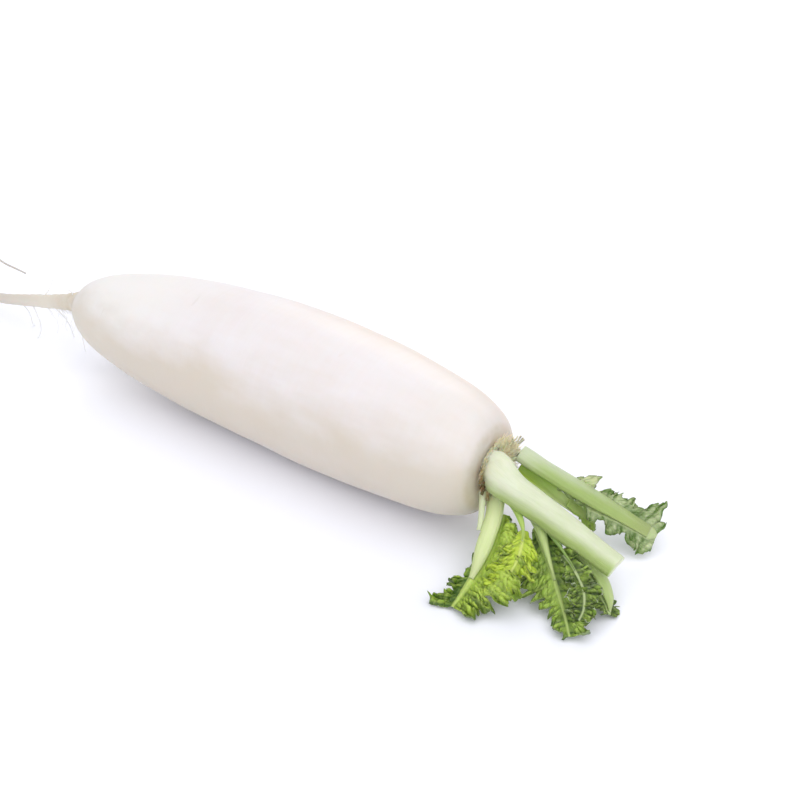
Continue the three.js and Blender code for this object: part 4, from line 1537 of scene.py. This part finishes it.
    def fibres(self) -> Patch:
        """Return curly dry fibres: thin tapering tubes that leave the stem and bend at random."""
        draw, count = np.random.default_rng(self.fibre_seed), (self.fibre_count, 1)
        crowded = draw.random(count) < 0.72
        tufted = draw.normal(math.radians(self.tuft_angle), 0.62, count)
        angle = np.where(crowded, tufted, draw.uniform(0, TAU, count))
        tucked = self.near(angle, self.stalk_angle, 55)
        radial, round_way = self.spokes(angle)
        ring = self.fibre_ring * np.sqrt(draw.uniform(0.08, 1.0, count)) * (1 - tucked)
        ring = ring + 14.0 * tucked
        forward = 4.5 * (1.0 - (ring / self.fibre_ring) ** 2)
        start = self.centre() + radial * ring[..., None] + forward[..., None] * FORWARD
        share = np.linspace(0, 1, self.fibre_rings)
        length = draw.uniform(2.5, 7.5, count) * (1 - 0.6 * tucked)
        lean = draw.uniform(0.1, 1.0, count) + 0.8 * tucked
        swing = draw.uniform(-2.2, 2.2, count) * np.sin(share * draw.uniform(2, 6, count))
        path = (
            start
            + (length * share * (1 - 0.35 * share))[..., None] * FORWARD
            + (lean * length * share**2)[..., None] * radial
            + (swing * share)[..., None] * round_way
        )
        rings = round_rings(path, draw.uniform(0.08, 0.20, count) * (1 - 0.6 * share), 5)
        whole = np.ones(rings.shape[:3])
        tone = draw.uniform(-0.5, 0.15, count) + 0.6 * self.near(angle, self.crust_angle, 40)
        return tube(rings, {
            "flow": rings * 0.5,
            "tone": tone[..., None] * whole,
            "tuft": np.clip(crowded * 0.8 + 0.2, 0, 1)[..., None] * whole,
        })

    def build(self) -> None:
        """Build and dress the stem with its scales, and the fibres."""
        finish = ScaleFinish().material()
        stem = Patch.join([self.dome(), self.scales()])
        add_piece("crown_scales", stem, finish, Slot.SCALE, "crown")
        add_piece("crown_fibres", self.fibres(), finish, Slot.SCALE)


# ---- Stage ----


@dataclass(frozen=True)
class Lamp:
    """An even lamp: its direction and breadth in degrees, its power and colour."""

    name: str
    azimuth: float
    elevation: float
    power: float
    breadth: float
    colour: Colour


@dataclass
class Stage:
    """The camera, the plain floor, and a cool surround with three broad soft lamps.

    Whatever looks at the part stands back from a point by an azimuth and an elevation in
    degrees.  Of these angles a and e, the direction is (sin a cos e, -cos a cos e, sin e).
    """

    azimuth: float = 37.0
    elevation: float = 31.0
    distance: float = 700.0
    aim: Row = (34.0, 34.0, 26.5)
    lens: float = 58.5
    sensor: float = 36.0
    floor_half: float = 30000.0
    floor_drop: float = 0.02
    surround: Row = (0.93, 0.985, 1.14, 1.0)
    surround_power: float = 0.39
    lamps: tuple[Lamp, ...] = (
        Lamp("top", 35.0, 68.0, 2.2, 100.0, (1.02, 1.0, 0.985)),
        Lamp("back", -155.0, 28.0, 0.85, 35.0, (1.03, 1.0, 0.96)),
        Lamp("front", 37.0, 30.0, 0.28, 60.0, (1.0, 1.0, 1.0)),
    )

    def watcher(
        self, data: bpy.types.ID, azimuth: float, elevation: float, distance: float, aim: Row
    ) -> bpy.types.Object:
        """Add a camera or a lamp that stands back from a point and faces it.

        Args:
            data: Its camera or light data.
            azimuth: The angle a.
            elevation: The angle e.
            distance: How far back it stands.
            aim: The point it faces.

        Returns:
            The object.
        """
        a, e = math.radians(azimuth), math.radians(elevation)
        back = Vector((math.sin(a) * math.cos(e), -math.cos(a) * math.cos(e), math.sin(e)))
        made = bpy.data.objects.new(data.name, data)
        made.location = (Vector(aim) + back * distance) * MM
        made.rotation_euler = back.to_track_quat("Z", "Y").to_euler()
        bpy.context.scene.collection.objects.link(made)
        return made

    def camera(self) -> None:
        """Make the camera."""
        data = bpy.data.cameras.new("camera")
        data.lens, data.sensor_width, data.sensor_fit = self.lens, self.sensor, "AUTO"
        data.clip_start, data.clip_end = 0.01, 50.0
        place = self.azimuth, self.elevation, self.distance, self.aim
        bpy.context.scene.camera = self.watcher(data, *place)

    def floor(self) -> None:
        """Lay the floor: one large square just under the part."""
        half, z = self.floor_half * MM, -self.floor_drop * MM
        corners = [(-half, -half, z), (half, -half, z), (half, half, z), (-half, half, z)]
        data = bpy.data.meshes.new("floor")
        data.from_pydata(corners, [], [(0, 1, 2, 3)])
        data.materials.append(FloorFinish().material())
        floor = bpy.data.objects.new("floor", data)
        bpy.context.scene.collection.objects.link(floor)

    def light(self) -> None:
        """Light the scene."""
        world = bpy.data.worlds.new("surround")
        world.use_nodes = True
        background = world.node_tree.nodes["Background"]
        background.inputs["Color"].default_value = self.surround
        background.inputs["Strength"].default_value = self.surround_power
        bpy.context.scene.world = world
        bpy.context.scene.view_settings.view_transform = "Standard"
        for lamp in self.lamps:
            data = bpy.data.lights.new(lamp.name, "SUN")
            data.energy, data.color = lamp.power, lamp.colour
            data.angle = math.radians(lamp.breadth)
            self.watcher(data, lamp.azimuth, lamp.elevation, 1.0 / MM, (0.0, 0.0, 0.0))

    def build(self) -> None:
        """Build the stage."""
        self.camera()
        self.floor()
        self.light()


def main() -> None:
    """Load the frame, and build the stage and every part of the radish."""
    logging.basicConfig(level=logging.INFO, format="%(name)s %(message)s")
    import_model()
    Stage().build()
    root = Root()
    root.build()
    Crown(root).build()
    for leaf in LEAVES:
        leaf.build()


if __name__ == "__main__":
    main()
